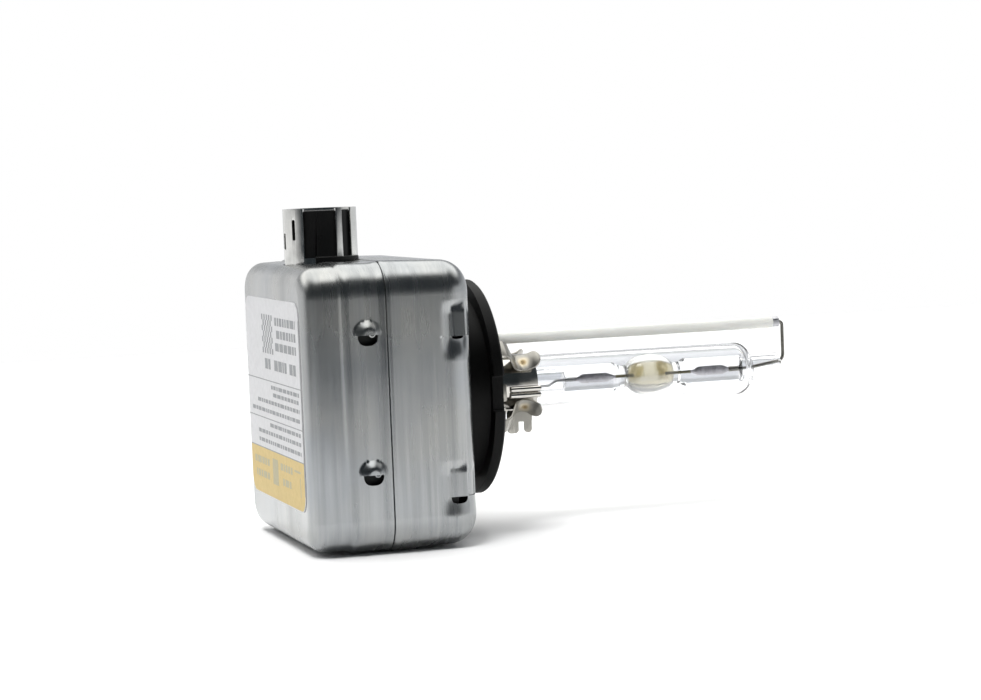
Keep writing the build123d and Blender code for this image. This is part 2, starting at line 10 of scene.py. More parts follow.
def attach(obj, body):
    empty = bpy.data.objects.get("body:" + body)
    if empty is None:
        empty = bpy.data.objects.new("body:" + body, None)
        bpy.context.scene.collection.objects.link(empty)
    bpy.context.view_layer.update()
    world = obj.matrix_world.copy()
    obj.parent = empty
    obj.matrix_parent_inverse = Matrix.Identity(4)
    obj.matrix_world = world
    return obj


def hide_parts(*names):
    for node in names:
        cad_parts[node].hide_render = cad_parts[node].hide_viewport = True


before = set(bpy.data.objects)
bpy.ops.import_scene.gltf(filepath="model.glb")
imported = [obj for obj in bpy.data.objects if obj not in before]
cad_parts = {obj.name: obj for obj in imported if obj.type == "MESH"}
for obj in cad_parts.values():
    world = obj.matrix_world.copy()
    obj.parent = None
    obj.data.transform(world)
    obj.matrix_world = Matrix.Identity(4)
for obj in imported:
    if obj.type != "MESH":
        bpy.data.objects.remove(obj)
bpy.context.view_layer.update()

# Everything is laid out in millimetres, in the frame's axes: the origin on the burner's axis at the
# flange's front face, +X to the tip, +Z to the plug collar, and -Y the side that faces the camera.
# Distances inside the shaders, and the places of the lights and the camera, are in metres.

MM = 0.001
random.seed(4)

# Shared places, used by both materials and meshes.
ARC_CENTRE = 27.1
WELD_X = 6.75


# ---------------------------------------------------------------- numbers


def smooth(value, start, stop):
    """A soft step from 0 to 1 between start and stop."""
    t = min(1.0, max(0.0, (value - start) / (stop - start)))
    return t * t * (3 - 2 * t)


def steps(start, stop, step):
    """Evenly spaced values from start to stop, both included, about a step apart."""
    count = max(1, round(abs((stop - start) / step)))
    return [start + (stop - start) * i / count for i in range(count + 1)]


def graded(*stretches):
    """Values along several stretches, each given as (start, stop, step)."""
    values = []
    for start, stop, step in stretches:
        for value in steps(start, stop, step):
            if not values or abs(value - values[-1]) > 1e-6:
                values.append(value)
    return values


def circle_points(radius, count, middle=(0.0, 0.0)):
    """Points round a circle."""
    turns = [2 * math.pi * k / count for k in range(count)]
    return [(middle[0] + radius * math.cos(a), middle[1] + radius * math.sin(a)) for a in turns]


def rounded_rectangle(width, height, radius, middle=(0.0, 0.0), count=8):
    """The outline of a rectangle with rounded corners."""
    outline = []
    for quarter, (across, up) in enumerate(((1, 1), (-1, 1), (-1, -1), (1, -1))):
        centre = (middle[0] + across * (width / 2 - radius), middle[1] + up * (height / 2 - radius))
        for k in range(count + 1):
            a = math.pi / 2 * (quarter + k / count)
            outline.append((centre[0] + radius * math.cos(a), centre[1] + radius * math.sin(a)))
    return outline


def arc_points(middle, radius, start, stop, count=8):
    """Points on an arc between two angles in degrees."""
    turns = [math.radians(start + (stop - start) * k / count) for k in range(count + 1)]
    return [(middle[0] + radius * math.cos(a), middle[1] + radius * math.sin(a)) for a in turns]


# ---------------------------------------------------------------- meshes


def ring_faces(rows, count, joined=False, capped=True, first=0):
    """Faces over rows of points, each a closed ring: joined end to end, or capped at both ends, or open."""
    faces = []
    for i in range(rows if joined else rows - 1):
        a, b = first + i * count, first + (i + 1) % rows * count
        faces += [(a + k, a + (k + 1) % count, b + (k + 1) % count, b + k) for k in range(count)]
    if capped and not joined:
        faces.append(tuple(range(first, first + count)))
        faces.append(tuple(range(first + (rows - 1) * count, first + rows * count)))
    return faces


def rings_of(outline, count, height=0.0):
    """Rings of points about the burner's axis, or one parallel to it, from an (x, radius) outline."""
    return [(x, y, z + height) for x, radius in outline for y, z in circle_points(radius, count)]


def make_object(name, vertices, faces, sharp_angle=32):
    """A smooth-shaded mesh from points in millimetres, with its steeper edges kept sharp."""
    mesh = bpy.data.meshes.new(name)
    mesh.from_pydata([tuple(Vector(v) * MM) for v in vertices], [], faces)
    work = bmesh.new()
    work.from_mesh(mesh)
    bmesh.ops.remove_doubles(work, verts=work.verts, dist=1e-4 * MM)
    bmesh.ops.recalc_face_normals(work, faces=work.faces)
    if work.calc_volume(signed=True) < 0:
        bmesh.ops.reverse_faces(work, faces=work.faces)
    work.to_mesh(mesh)
    work.free()
    obj = bpy.data.objects.new(name, mesh)
    bpy.context.scene.collection.objects.link(obj)
    return shade(obj, sharp_angle)


def shade(obj, sharp_angle=32):
    """Smooth shading between sharp edges."""
    obj.data.shade_smooth()
    obj.data.set_sharp_from_angle(angle=math.radians(sharp_angle))
    return obj


def apply_modifiers(obj):
    """Turns an object's modifiers into mesh."""
    bpy.context.view_layer.update()
    evaluated = obj.evaluated_get(bpy.context.evaluated_depsgraph_get())
    mesh = bpy.data.meshes.new_from_object(evaluated)
    obj.modifiers.clear()
    obj.data = mesh
    return obj


def round_edges(obj, width, segments=3, angle=40):
    """Rounds an object's sharp edges."""
    bevel = obj.modifiers.new("edge_rounding", "BEVEL")
    bevel.width = width * MM
    bevel.segments = segments
    bevel.limit_method = "ANGLE"
    bevel.angle_limit = math.radians(angle)
    return shade(apply_modifiers(obj))


def combine(obj, other, operation="DIFFERENCE", sharp_angle=28):
    """Cuts another solid out of an object, or fuses it on."""
    boolean = obj.modifiers.new("combine", "BOOLEAN")
    boolean.operation = operation
    boolean.solver = "EXACT"
    boolean.object = other
    apply_modifiers(obj)
    bpy.data.objects.remove(other)
    return shade(obj, sharp_angle)


def join(name, parts):
    """One object from several meshes."""
    work = bmesh.new()
    for part in parts:
        work.from_mesh(part.data)
        bpy.data.objects.remove(part)
    mesh = bpy.data.meshes.new(name)
    work.to_mesh(mesh)
    work.free()
    obj = bpy.data.objects.new(name, mesh)
    bpy.context.scene.collection.objects.link(obj)
    return shade(obj)


def turn_about_burner(obj, degrees):
    """Turns a mesh about the burner's axis."""
    obj.data.transform(Matrix.Rotation(math.radians(degrees), 4, "X"))
    return obj


def prism(name, outline, start, stop, axis="X"):
    """An outline carried along an axis. It is given in the two other axes, in alphabetical order."""
    orders = {
        "X": lambda a, b, c: (c, a, b),
        "Y": lambda a, b, c: (a, c, b),
        "Z": lambda a, b, c: (a, b, c),
    }
    count = len(outline)
    vertices = [orders[axis](a, b, c) for c in (start, stop) for a, b in outline]
    faces = [tuple(range(count)), tuple(reversed(range(count, 2 * count)))]
    for k in range(count):
        m = (k + 1) % count
        faces.append((k, k + count, m + count, m))
    return make_object(name, vertices, faces)


def turned(name, outline, count=96, height=0.0, sharp_angle=32, joined=True):
    """A ring about the burner's axis from a closed (x, radius) outline, or a solid from an open one."""
    faces = ring_faces(len(outline), count, joined)
    return make_object(name, rings_of(outline, count, height), faces, sharp_angle)


def turned_from_axis(name, outline, count):
    """A solid about the burner's axis, from an outline whose two ends lie on the axis."""
    inside = outline[1:-1]
    vertices = [(outline[0][0], 0.0, 0.0), *rings_of(inside, count), (outline[-1][0], 0.0, 0.0)]
    last = len(vertices) - 1
    faces = ring_faces(len(inside), count, capped=False, first=1)
    for k in range(count):
        m = (k + 1) % count
        faces.append((0, 1 + m, 1 + k))
        faces.append((last, last - count + k, last - count + m))
    return make_object(name, vertices, faces, 50)


def tube_outline(start, stop, outer, inner, edge=0.05):
    """The closed outline of a plain tube with eased edges."""
    return [
        (start, inner + edge),
        (start, outer - edge),
        (start + edge * 0.3, outer - edge * 0.3),
        (start + edge, outer),
        (stop - edge, outer),
        (stop - edge * 0.3, outer - edge * 0.3),
        (stop, outer - edge),
        (stop, inner + edge),
        (stop - edge, inner),
        (start + edge, inner),
    ]


def rod(name, points, radius, count=20, eased=0.0):
    """A round wire along a list of points, with its end edges eased."""
    points = [Vector(p) for p in points]
    tangents = []
    for i in range(len(points)):
        before = points[max(i - 1, 0)]
        after = points[min(i + 1, len(points) - 1)]
        tangents.append((after - before).normalized())
    side = tangents[0].orthogonal().normalized()
    rings = []
    for point, along in zip(points, tangents):
        side = (side - along * side.dot(along)).normalized()
        rings.append([point, side.copy(), along.cross(side), radius])
    if eased:
        first, last = list(rings[0]), list(rings[-1])
        rings[0][0] = first[0] + tangents[0] * eased
        rings[-1][0] = last[0] - tangents[-1] * eased
        first[3] = last[3] = radius - eased
        rings = [first, *rings, last]
    vertices = []
    for point, across, up, size in rings:
        for a, b in circle_points(size, count):
            vertices.append(point + across * a + up * b)
    return make_object(name, vertices, ring_faces(len(rings), count))


def bent_route(points, bend, count=10):
    """A route through these points, with an arc at each corner."""
    points = [Vector(p) for p in points]
    route = [points[0]]
    for before, here, after in zip(points, points[1:], points[2:]):
        back = (before - here).normalized()
        on = (after - here).normalized()
        half_angle = back.angle(on) / 2
        middle = here + (back + on).normalized() * bend / math.sin(half_angle)
        start = here + back * bend / math.tan(half_angle) - middle
        end = here + on * bend / math.tan(half_angle) - middle
        axis = start.cross(end).normalized()
        for k in range(count + 1):
            route.append(middle + Matrix.Rotation(start.angle(end) * k / count, 3, axis) @ start)
    route.append(points[-1])
    return route


def strip_path(start, moves, step):
    """The centre line of a bent strip in (x, radius), with the heading in degrees at each place.

    Each move is (length, 0) for a straight or (radius, turn) for a bend."""
    place, heading = Vector(start), 0.0
    path = [(place, heading)]
    for size, turn in moves:
        count = max(4, round(abs(turn) / 6)) if turn else max(1, round(size / step))
        chord = 2 * size * math.sin(math.radians(abs(turn) / count / 2)) if turn else size / count
        for _ in range(count):
            heading += turn / count / 2
            a = math.radians(heading)
            place = place + Vector((math.cos(a), math.sin(a))) * chord
            heading += turn / count / 2
            path.append((place, heading))
    return path


def bent_strip(name, path, half_widths, thickness):
    """A strip of sheet along a path in (x, radius), across Y, with its own half-width at each place."""
    vertices = []
    for (place, heading), half in zip(path, half_widths):
        a = math.radians(heading)
        normal = Vector((-math.sin(a), math.cos(a))) * thickness / 2
        outer, inner = place + normal, place - normal
        for across, point in ((half, outer), (-half, outer), (-half, inner), (half, inner)):
            vertices.append((point.x, across, point.y))
    return make_object(name, vertices, ring_faces(len(path), 4))


def finish_piece(obj, material, slot, *nodes):
    """Gives a piece its material and body, and hides the CAD nodes that it stands for. The slot is not
    used.
    """
    obj.data.materials.clear()
    obj.data.materials.append(material)
    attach(obj, "root")
    if nodes:
        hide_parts(*nodes)
    return obj


# ---------------------------------------------------------------- material helpers


class Nodes:
    """A small helper round one node tree."""

    def __init__(self, tree):
        self.tree = tree

    def put(self, kind, settings=None, **inputs):
        """A new node, with its settings and its inputs given as values or as other nodes' outputs."""
        made = self.tree.nodes.new(kind)
        for key, value in (settings or {}).items():
            setattr(made, key, value)
        for key, value in inputs.items():
            numbered = key[0] == "i" and key[1:].isdigit()
            self.join(value, made.inputs[int(key[1:]) if numbered else key])
        return made

    def join(self, value, socket):
        """Links an output to a socket, or sets the socket's value."""
        if isinstance(value, bpy.types.NodeSocket):
            self.tree.links.new(value, socket)
        else:
            socket.default_value = value

    def ramp(self, factor, *stops):
        """A colour ramp with stops given as (position, colour or grey)."""
        made = self.tree.nodes.new("ShaderNodeValToRGB")
        elements = made.color_ramp.elements
        while len(elements) < len(stops):
            elements.new(0.5)
        for element, (position, colour) in zip(elements, stops):
            element.position = position
            rgb = (colour, colour, colour) if isinstance(colour, (int, float)) else colour
            element.color = (*rgb, 1)
        self.join(factor, made.inputs["Fac"])
        return made.outputs["Color"]

    def range(self, value, low, high, from_low=0.0, from_high=1.0):
        """A value carried from one range to another."""
        made = self.put("ShaderNodeMapRange", i0=value, i1=from_low, i2=from_high, i3=low, i4=high)
        return made.outputs["Result"]

    def mix(self, factor, a, b):
        """A blend of two colours."""
        made = self.tree.nodes.new("ShaderNodeMix")
        made.data_type = "RGBA"
        self.join(factor, made.inputs[0])
        for value, socket in ((a, made.inputs[6]), (b, made.inputs[7])):
            self.join(value if isinstance(value, bpy.types.NodeSocket) else (*value, 1), socket)
        return made.outputs[2]

    def maths(self, operation, a, b=0.0):
        """One sum on one or two values."""
        return self.put("ShaderNodeMath", {"operation": operation}, i0=a, i1=b).outputs[0]


class Shader(Nodes):
    """A material's node tree, with its shader and its object coordinates."""

    def __init__(self, name):
        self.material = bpy.data.materials.new(name)
        self.material.use_nodes = True
        super().__init__(self.material.node_tree)
        self.bsdf = self.tree.nodes["Principled BSDF"]
        self.coordinates = self.put("ShaderNodeTexCoord").outputs["Object"]

    def set(self, **inputs):
        """Sets or links the shader's own sockets, with underscores for spaces."""
        for key, value in inputs.items():
            self.join(value, self.bsdf.inputs[key.replace("_", " ")])

    def stretch(self, scale):
        """Object coordinates scaled differently along each axis."""
        return self.put("ShaderNodeMapping", Vector=self.coordinates, Scale=scale).outputs[0]

    def noise(self, scale, detail=3.0, roughness=0.5, where=None):
        """A noise pattern, from 0 to 1."""
        made = self.put("ShaderNodeTexNoise", Scale=scale, Detail=detail, Roughness=roughness)
        self.join(self.coordinates if where is None else where, made.inputs["Vector"])
        return made.outputs["Fac"]

    def bump(self, height, strength, distance):
        """A bump from a height pattern, linked to the shader's normal."""
        made = self.put("ShaderNodeBump", Height=height, Strength=strength, Distance=distance)
        self.tree.links.new(made.outputs["Normal"], self.bsdf.inputs["Normal"])
        return made


def satin_steel():
    """Tinned sheet: soft reflections, broad drawn bands and cloudy stains."""
    s = Shader("satin_steel")
    bands = s.noise(1.0, 3, 0.5, s.stretch((800, 200, 18)))
    hairs = s.noise(1.0, 2, 0.5, s.stretch((3000, 400, 60)))
    clouds = s.noise(1.0, 3, 0.5, s.stretch((60, 60, 60)))
    colour = s.mix(s.range(clouds, 0, 1, 0.35, 0.68), (0.33, 0.345, 0.36), (0.42, 0.42, 0.405))
    colour = s.mix(s.range(bands, 0, 0.55, 0.42, 0.7), colour, (0.25, 0.262, 0.27))
    s.set(Base_Color=s.mix(s.range(hairs, 0, 0.25, 0.45, 0.8), colour, (0.52, 0.52, 0.51)), Metallic=1.0)
    s.set(Roughness=s.range(s.maths("ADD", bands, clouds), 0.18, 0.34, 0.6, 1.4))
    s.bump(s.maths("ADD", s.maths("MULTIPLY", hairs, 0.15), bands), 0.06, 0.00004)
    return s.material


def bright_steel(name, colour=(0.74, 0.74, 0.73), low=0.12, high=0.28):
    """Rolled bright strip with fine lengthwise scratches."""
    s = Shader(name)
    streaks = s.noise(1.0, 4, 0.6, s.stretch((1800, 1800, 200)))
    stains = s.noise(260, 3, 0.55)
    dark = tuple(c * 0.72 for c in colour)
    s.set(Base_Color=s.mix(s.range(stains, 0, 1, 0.35, 0.75), colour, dark), Metallic=1.0)
    s.set(Roughness=s.range(streaks, low, high, 0.3, 0.75))
    s.bump(streaks, 0.15, 0.00002)
    return s.material


def black_plastic(name, rough=0.42, base=0.012, shine=0.2):
    """Moulded black plastic with a fine spark-eroded grain."""
    s = Shader(name)
    grain = s.noise(2600, 3, 0.6)
    patches = s.noise(120, 3, 0.5)
    shade = s.ramp(patches, (0.3, base), (0.75, base * 1.9))
    s.set(Base_Color=shade, Roughness=s.range(patches, rough - 0.08, rough + 0.1, 0.3, 0.7))
    s.set(Specular_IOR_Level=shine)
    s.bump(grain, 0.35, 0.00003)
    return s.material


def clear_quartz():
    """Water-clear fused quartz."""
    s = Shader("quartz")
    ripple = s.noise(1.0, 3, 0.5, s.stretch((30, 700, 700)))
    s.set(Base_Color=(0.985, 0.99, 1.0, 1), IOR=1.46, Transmission_Weight=1.0)
    s.set(Roughness=s.range(ripple, 0.0, 0.06, 0.4, 0.7))
    s.bump(ripple, 0.06, 0.0002)
    return s.material


def milky_quartz():
    """Quartz that turns cloudy and cream round the arc chamber."""
    s = Shader("milky_quartz")
    squeeze = 0.8
    where = s.put(
        "ShaderNodeMapping",
        Vector=s.coordinates,
        Scale=(squeeze, 1.0, 1.0),
        Location=(-squeeze * ARC_CENTRE * MM, 0, 0),
    )
    away = s.put("ShaderNodeVectorMath", {"operation": "LENGTH"}, i0=where.outputs[0]).outputs["Value"]
    cloud = s.noise(600, 4, 0.6)
    reach = s.maths("ADD", away, s.maths("MULTIPLY", s.maths("SUBTRACT", cloud, 0.5), 0.0012))
    haze = s.range(reach, 1, 0, 0.0027, 0.0039)
    s.set(Base_Color=s.mix(haze, (0.985, 0.99, 1.0), (1.0, 0.985, 0.93)), IOR=1.46)
    s.set(Roughness=s.maths("MULTIPLY", haze, 0.2), Transmission_Weight=s.range(haze, 1.0, 0.78))
    s.bump(cloud, 0.1, 0.0001)
    return s.material


def salt_film():
    """Thin cream salt, with brown-yellow patches round the electrodes' tips."""
    s = Shader("halide_salt")
    grain = s.noise(900, 4, 0.6)
    patches = s.noise(650, 3, 0.55)
    parts = s.put("ShaderNodeSeparateXYZ", Vector=s.coordinates).outputs
    from_arc = s.maths("ABSOLUTE", s.maths("SUBTRACT", parts["X"], ARC_CENTRE * MM))
    past_middle = s.range(from_arc, 0, 1, 0.0008, 0.0014)
    near_tips = s.maths("MULTIPLY", past_middle, s.range(from_arc, 1, 0, 0.0026, 0.0032))
    high = s.range(parts["Z"], 0, 1, -0.0009, 0.0)
    amber = s.maths("MULTIPLY", s.maths("MULTIPLY", near_tips, high), s.range(patches, 0, 1, 0.42, 0.56))
    cream = s.mix(s.range(grain, 0, 1, 0.3, 0.7), (0.985, 0.965, 0.88), (0.97, 0.935, 0.8))
    s.set(Base_Color=s.mix(amber, cream, (0.72, 0.62, 0.3)), Roughness=s.range(grain, 0.1, 0.3), IOR=1.3)
    s.set(Transmission_Weight=s.range(amber, 0.97, 0.8))
    s.bump(grain, 0.3, 0.0001)
    return s.material


def alumina():
    """Fired white ceramic, slightly creamy and matt."""
    s = Shader("alumina")
    speck = s.noise(1500, 3, 0.6)
    patches = s.noise(150, 3, 0.5)
    colour = s.mix(s.range(patches, 0, 1, 0.3, 0.7), (0.83, 0.83, 0.79), (0.76, 0.76, 0.73))
    s.set(Base_Color=colour, Roughness=s.range(speck, 0.45, 0.62), Subsurface_Weight=0.15)
    s.set(Subsurface_Radius=(0.0006, 0.0005, 0.0004), Subsurface_Scale=1.0)
    s.bump(speck, 0.2, 0.00002)
    return s.material


def molybdenum():
    """Grey foil, slightly crinkled."""
    s = Shader("molybdenum")
    crinkle = s.noise(900, 3, 0.6)
    s.set(Base_Color=s.ramp(crinkle, (0.3, (0.36, 0.35, 0.37)), (0.7, (0.55, 0.54, 0.57))), Metallic=1.0)
    s.set(Roughness=s.range(crinkle, 0.25, 0.5))
    s.bump(crinkle, 0.5, 0.00005)
    return s.material


def dark_wire(name, colour):
    """Drawn wire with lengthwise marks."""
    s = Shader(name)
    marks = s.noise(1.0, 3, 0.5, s.stretch((120, 2400, 2400)))
    lighter = tuple(min(1, c * 1.5) for c in colour)
    s.set(Base_Color=s.mix(s.range(marks, 0, 1, 0.35, 0.7), colour, lighter), Metallic=1.0)
    s.set(Roughness=s.range(marks, 0.25, 0.45))
    s.bump(marks, 0.2, 0.00002)
    return s.material


def spring_steel():
    """Warm grey spring strip, tinted brown by heat round each weld."""
    s = Shader("spring_steel")
    weld = (WELD_X * MM, 3.2 * MM, 3.2 * MM)
    mirrored = s.put("ShaderNodeVectorMath", {"operation": "ABSOLUTE"}, i0=s.coordinates).outputs[0]
    from_weld = s.put("ShaderNodeVectorMath", {"operation": "DISTANCE"}, i0=mirrored, i1=weld)
    grime = s.noise(500, 3, 0.6)
    rolled = s.noise(1.0, 3, 0.5, s.stretch((1600, 200, 200)))
    reach = s.maths("ADD", from_weld.outputs["Value"], s.maths("MULTIPLY", grime, 0.0005))
    heat = s.ramp(
        s.range(reach, 0, 1, 0.0002, 0.0016),
        (0.0, (0.08, 0.05, 0.018)),
        (0.25, (0.34, 0.25, 0.12)),
        (0.5, (0.60, 0.53, 0.40)),
        (0.85, (0.40, 0.385, 0.35)),
    )
    s.set(Base_Color=s.mix(s.range(grime, 0, 0.35), heat, (0.19, 0.188, 0.18)), Metallic=1.0)
    s.set(Roughness=s.range(rolled, 0.24, 0.42, 0.3, 0.7))
    s.bump(rolled, 0.2, 0.00003)
    return s.material


def printed(name, colour, ink_rough=0.55):
    """Ink or film on the label, slightly uneven."""
    s = Shader(name)
    fibre = s.noise(1400, 4, 0.6)
    darker = tuple(c * 0.9 for c in colour)
    s.set(Base_Color=s.mix(s.range(fibre, 0, 1, 0.3, 0.7), colour, darker))
    s.set(Roughness=s.range(fibre, ink_rough - 0.08, ink_rough + 0.08))
    s.bump(fibre, 0.15, 0.00001)
    return s.material


# ---------------------------------------------------------------- stage, light and camera


FLOOR = -20.75


def make_stage():
    """A pale floor under the casing."""
    corners = [(-210, -170), (0, -185), (70, -230), (520, -230), (520, 420), (-210, 420)]
    floor = make_object("floor", [(x, y, FLOOR) for x, y in corners], [tuple(range(len(corners)))])
    s = Shader("floor_white")
    s.set(Base_Color=(0.93, 0.93, 0.935, 1), Roughness=0.6, Specular_IOR_Level=0.2)
    floor.data.materials.append(s.material)


def area_light(name, place, target, width, height, power):
    """A soft rectangular light aimed at a point. Metal reflects the room and not the light itself."""
    data = bpy.data.lights.new(name, "AREA")
    data.shape = "RECTANGLE"
    data.size, data.size_y = width, height
    data.energy = power
    light = bpy.data.objects.new(name, data)
    light.location = place
    light.rotation_mode = "QUATERNION"
    light.rotation_quaternion = (Vector(target) - Vector(place)).to_track_quat("-Z", "Y")
    light.visible_camera = False
    light.visible_glossy = False
    bpy.context.scene.collection.objects.link(light)


def make_lights():
    """A softbox over the floor behind, a small key in front on the left, and a fill from the right."""
    target = (0.0, 0.0, 0.0)
    area_light("back_softbox", (0.20, 0.42, 0.60), (0.12, 0.25, -0.02), 0.9, 0.7, 0.35)
    area_light("key", (-0.22, -0.25, 0.62), target, 0.2, 0.2, 2.7)
    area_light("right_fill", (0.55, -0.10, 0.50), target, 0.6, 0.6, 0.4)


def make_world():
    """A room with a white wall behind the bulb and a dim, bluish one behind the camera."""
    world = bpy.data.worlds.new("studio")
    bpy.context.scene.world = world
    world.use_nodes = True
    nodes = Nodes(world.node_tree)
    direction = nodes.put("ShaderNodeTexCoord").outputs["Generated"]
    parts = nodes.put("ShaderNodeSeparateXYZ", i0=direction).outputs
    across, away, up = (nodes.range(parts[axis], 0.0, 1.0, -1.0, 1.0) for axis in "XYZ")
    ceiling = (0.95, 0.95, 0.93)
    back_ceiling = (0.85, 0.85, 0.83)

    dim_wall = nodes.ramp(
        up,
        (0.44, (0.017, 0.019, 0.022)),
        (0.50, (0.028, 0.032, 0.036)),
        (0.56, (0.011, 0.014, 0.016)),
        (0.92, (0.014, 0.017, 0.019)),
        (0.97, ceiling),
    )
    pale_wall = nodes.ramp(
        up,
        (0.44, (0.225, 0.228, 0.225)),
        (0.51, (0.18, 0.183, 0.18)),
        (0.57, (0.022, 0.025, 0.028)),
        (0.92, (0.022, 0.025, 0.028)),
        (0.97, ceiling),
    )
    front_wall = nodes.mix(nodes.ramp(across, (0.64, 0.0), (0.68, 1.0)), dim_wall, pale_wall)
    back_left = nodes.ramp(
        up,
        (0.60, 0.42),
        (0.66, (0.22, 0.225, 0.23)),
        (0.73, (0.22, 0.225, 0.23)),
        (0.79, back_ceiling),
    )
    back_right = nodes.ramp(
        up,
        (0.59, (0.31, 0.315, 0.325)),
        (0.65, (0.17, 0.175, 0.18)),
        (0.74, (0.17, 0.175, 0.18)),
        (0.80, back_ceiling),
    )
    back_wall = nodes.mix(nodes.ramp(across, (0.42, 0.0), (0.54, 1.0)), back_left, back_right)
    room = nodes.mix(nodes.ramp(away, (0.36, 0.0), (0.62, 1.0)), front_wall, back_wall)
    right_wall = nodes.mix(nodes.ramp(up, (0.58, 1.0), (0.66, 0.0)), room, (0.34, 0.345, 0.35))
    room = nodes.mix(nodes.ramp(across, (0.78, 0.0), (0.92, 1.0)), room, right_wall)

    to_camera = nodes.put("ShaderNodeLightPath").outputs["Is Camera Ray"]
    background = nodes.tree.nodes["Background"]
    nodes.join(nodes.mix(to_camera, room, (1.0, 1.0, 1.0)), background.inputs["Color"])
    nodes.join(nodes.range(to_camera, 2.4, 1.0), background.inputs["Strength"])


def make_camera():
    """A long lens, a little above the burner and to the rear of it, slightly rolled."""
    yaw, pitch, roll = (math.radians(a) for a in (17.545, 3.837, -2.319))
    data = bpy.data.cameras.new("camera")
    data.sensor_width = 36.0
    data.lens = 92.52
    data.shift_x = -0.0044
    data.shift_y = -0.0070
    data.clip_start = 0.01
    data.clip_end = 20
    camera = bpy.data.objects.new("camera", data)
    turn = Matrix.Rotation(-yaw, 3, "Z") @ Matrix.Rotation(math.pi / 2 - pitch, 3, "X")
    turn = turn @ Matrix.Rotation(roll, 3, "Z")
    camera.matrix_world = Matrix.Translation((-0.10734, -0.35078, 0.03074)) @ turn.to_4x4()
    bpy.context.scene.collection.objects.link(camera)
    bpy.context.scene.camera = camera


make_stage()
make_lights()
make_world()
make_camera()
bpy.context.scene.view_settings.view_transform = "Standard"


# ---------------------------------------------------------------- casing

CASING_MIDDLE = -0.6
CORE_HALF = 15.35
SHEET = 0.6
CASING_REAR, CASING_FRONT, SEAM = -29.6, -5.4, -18.1
CAP_OUT, SKIRT_OUT, CAN_OUT, LAP_OUT = 4.4, 4.65, 4.8, 4.0
REAR_ROUND, FRONT_ROUND = 2.6, 3.8
STEP_START, STEP_END = -24.1, -23.2
SKIRT_END = SEAM - 0.03
LAP_END = -23.1
NECK_HOLE = 13.7
SHOULDER_ROUND = 0.6
HOOD_X, HOOD_RISE, HOOD_REACH = -20.8, 0.92, 2.0
HOOD_EDGES = (-9.5, 9.6)
HOOD_FLANK = 1.15
TAB_HEIGHT = 4.8
Tab = namedtuple("Tab", "rear front edge slot dent rise")
TABS = (
    Tab(rear=-9.9, front=-7.2, edge=-13.45, slot=1.0, dent=0.35, rise=0.05),
    Tab(rear=-8.8, front=-6.65, edge=8.75, slot=0.5, dent=0.8, rise=0.3),
)
SOCKET_X = -21.9
SOCKET_HOLE = 5.45


def casing_columns():
    """Places round the casing: a point on the inner square and the direction outwards from it."""
    marks = [-CORE_HALF]
    for edge in sorted(HOOD_EDGES + tuple(tab.edge for tab in TABS)):
        marks += [edge - CASING_MIDDLE - 0.02, edge - CASING_MIDDLE + 0.02]
    marks.append(CORE_HALF)
    detailed = graded(*[(a, b, 0.22) for a, b in zip(marks, marks[1:])])
    plain = steps(-CORE_HALF, CORE_HALF, 1.2)
    corner = [math.radians(90 * k / 12) for k in range(1, 12)]
    columns = []
    for quarter, places in enumerate((detailed[::-1], plain[::-1], [-z for z in detailed], plain[::-1])):
        side = [(-CORE_HALF, z, -1, 0) for z in places]
        side += [(-CORE_HALF, -CORE_HALF, -math.cos(a), -math.sin(a)) for a in corner]
        for _ in range(quarter):
            side = [(-z, y, -up, across) for y, z, across, up in side]
        columns += side
    return columns


def unevenness(x, y, z):
    """How far pressed sheet strays from true: slow waves, and the sides' lean towards either end."""
    wave = 0.035 * noise.noise(Vector((x * 0.16, y * 0.09, z * 0.09)))
    if x < STEP_START:
        lean = 0.12 * (STEP_START - x) / (STEP_START - CASING_REAR - REAR_ROUND)
    elif x > SEAM:
        lean = 0.3 * min(1.0, (x - SEAM) / (CASING_FRONT - FRONT_ROUND - SEAM))
    else:
        lean = 0.1 * smooth(x, STEP_END - 0.2, -19.6) - 0.14 * smooth(x, -19.2, SKIRT_END)
    return wave - lean


def hood_height(x, z):
    """How far a snap hood stands out of the skirt."""
    tallest = 0.0
    for edge in HOOD_EDGES:
        inside = (HOOD_REACH - math.hypot(x - HOOD_X, z - edge)) / HOOD_FLANK
        if z > edge and inside > 0:
            tallest = max(tallest, HOOD_RISE * (1 - max(0.0, 1 - inside) ** 1.25))
    return tallest


def tab_depth(x, z, depth, flat):
    """The depth of the can's side, with its tabs lanced out and the metal round them pressed in."""
    for tab in TABS:
        over = z - tab.edge
        beside = smooth(x, tab.rear - 1.7, tab.rear - 0.1)
        if over < 0:
            below = 1 - smooth(-over, 0.0, 3.4)
            depth -= tab.dent * below * beside * (1 - smooth(x, tab.front - 0.3, tab.front + 0.9))
        else:
            depth -= 0.35 * (1 - smooth(over, TAB_HEIGHT - 1.8, TAB_HEIGHT + 0.3)) * beside
            across = smooth(x, tab.rear - 0.3, tab.rear + 0.3)
            across *= 1 - smooth(x, tab.front - 0.3, tab.front + 0.3)
            along = 1 - smooth(over, TAB_HEIGHT - 1.4, TAB_HEIGHT + 0.1)
            proud = flat - 0.1 + tab.rise * (1 - over / TAB_HEIGHT)
            depth += (proud - depth) * along * across
    return depth


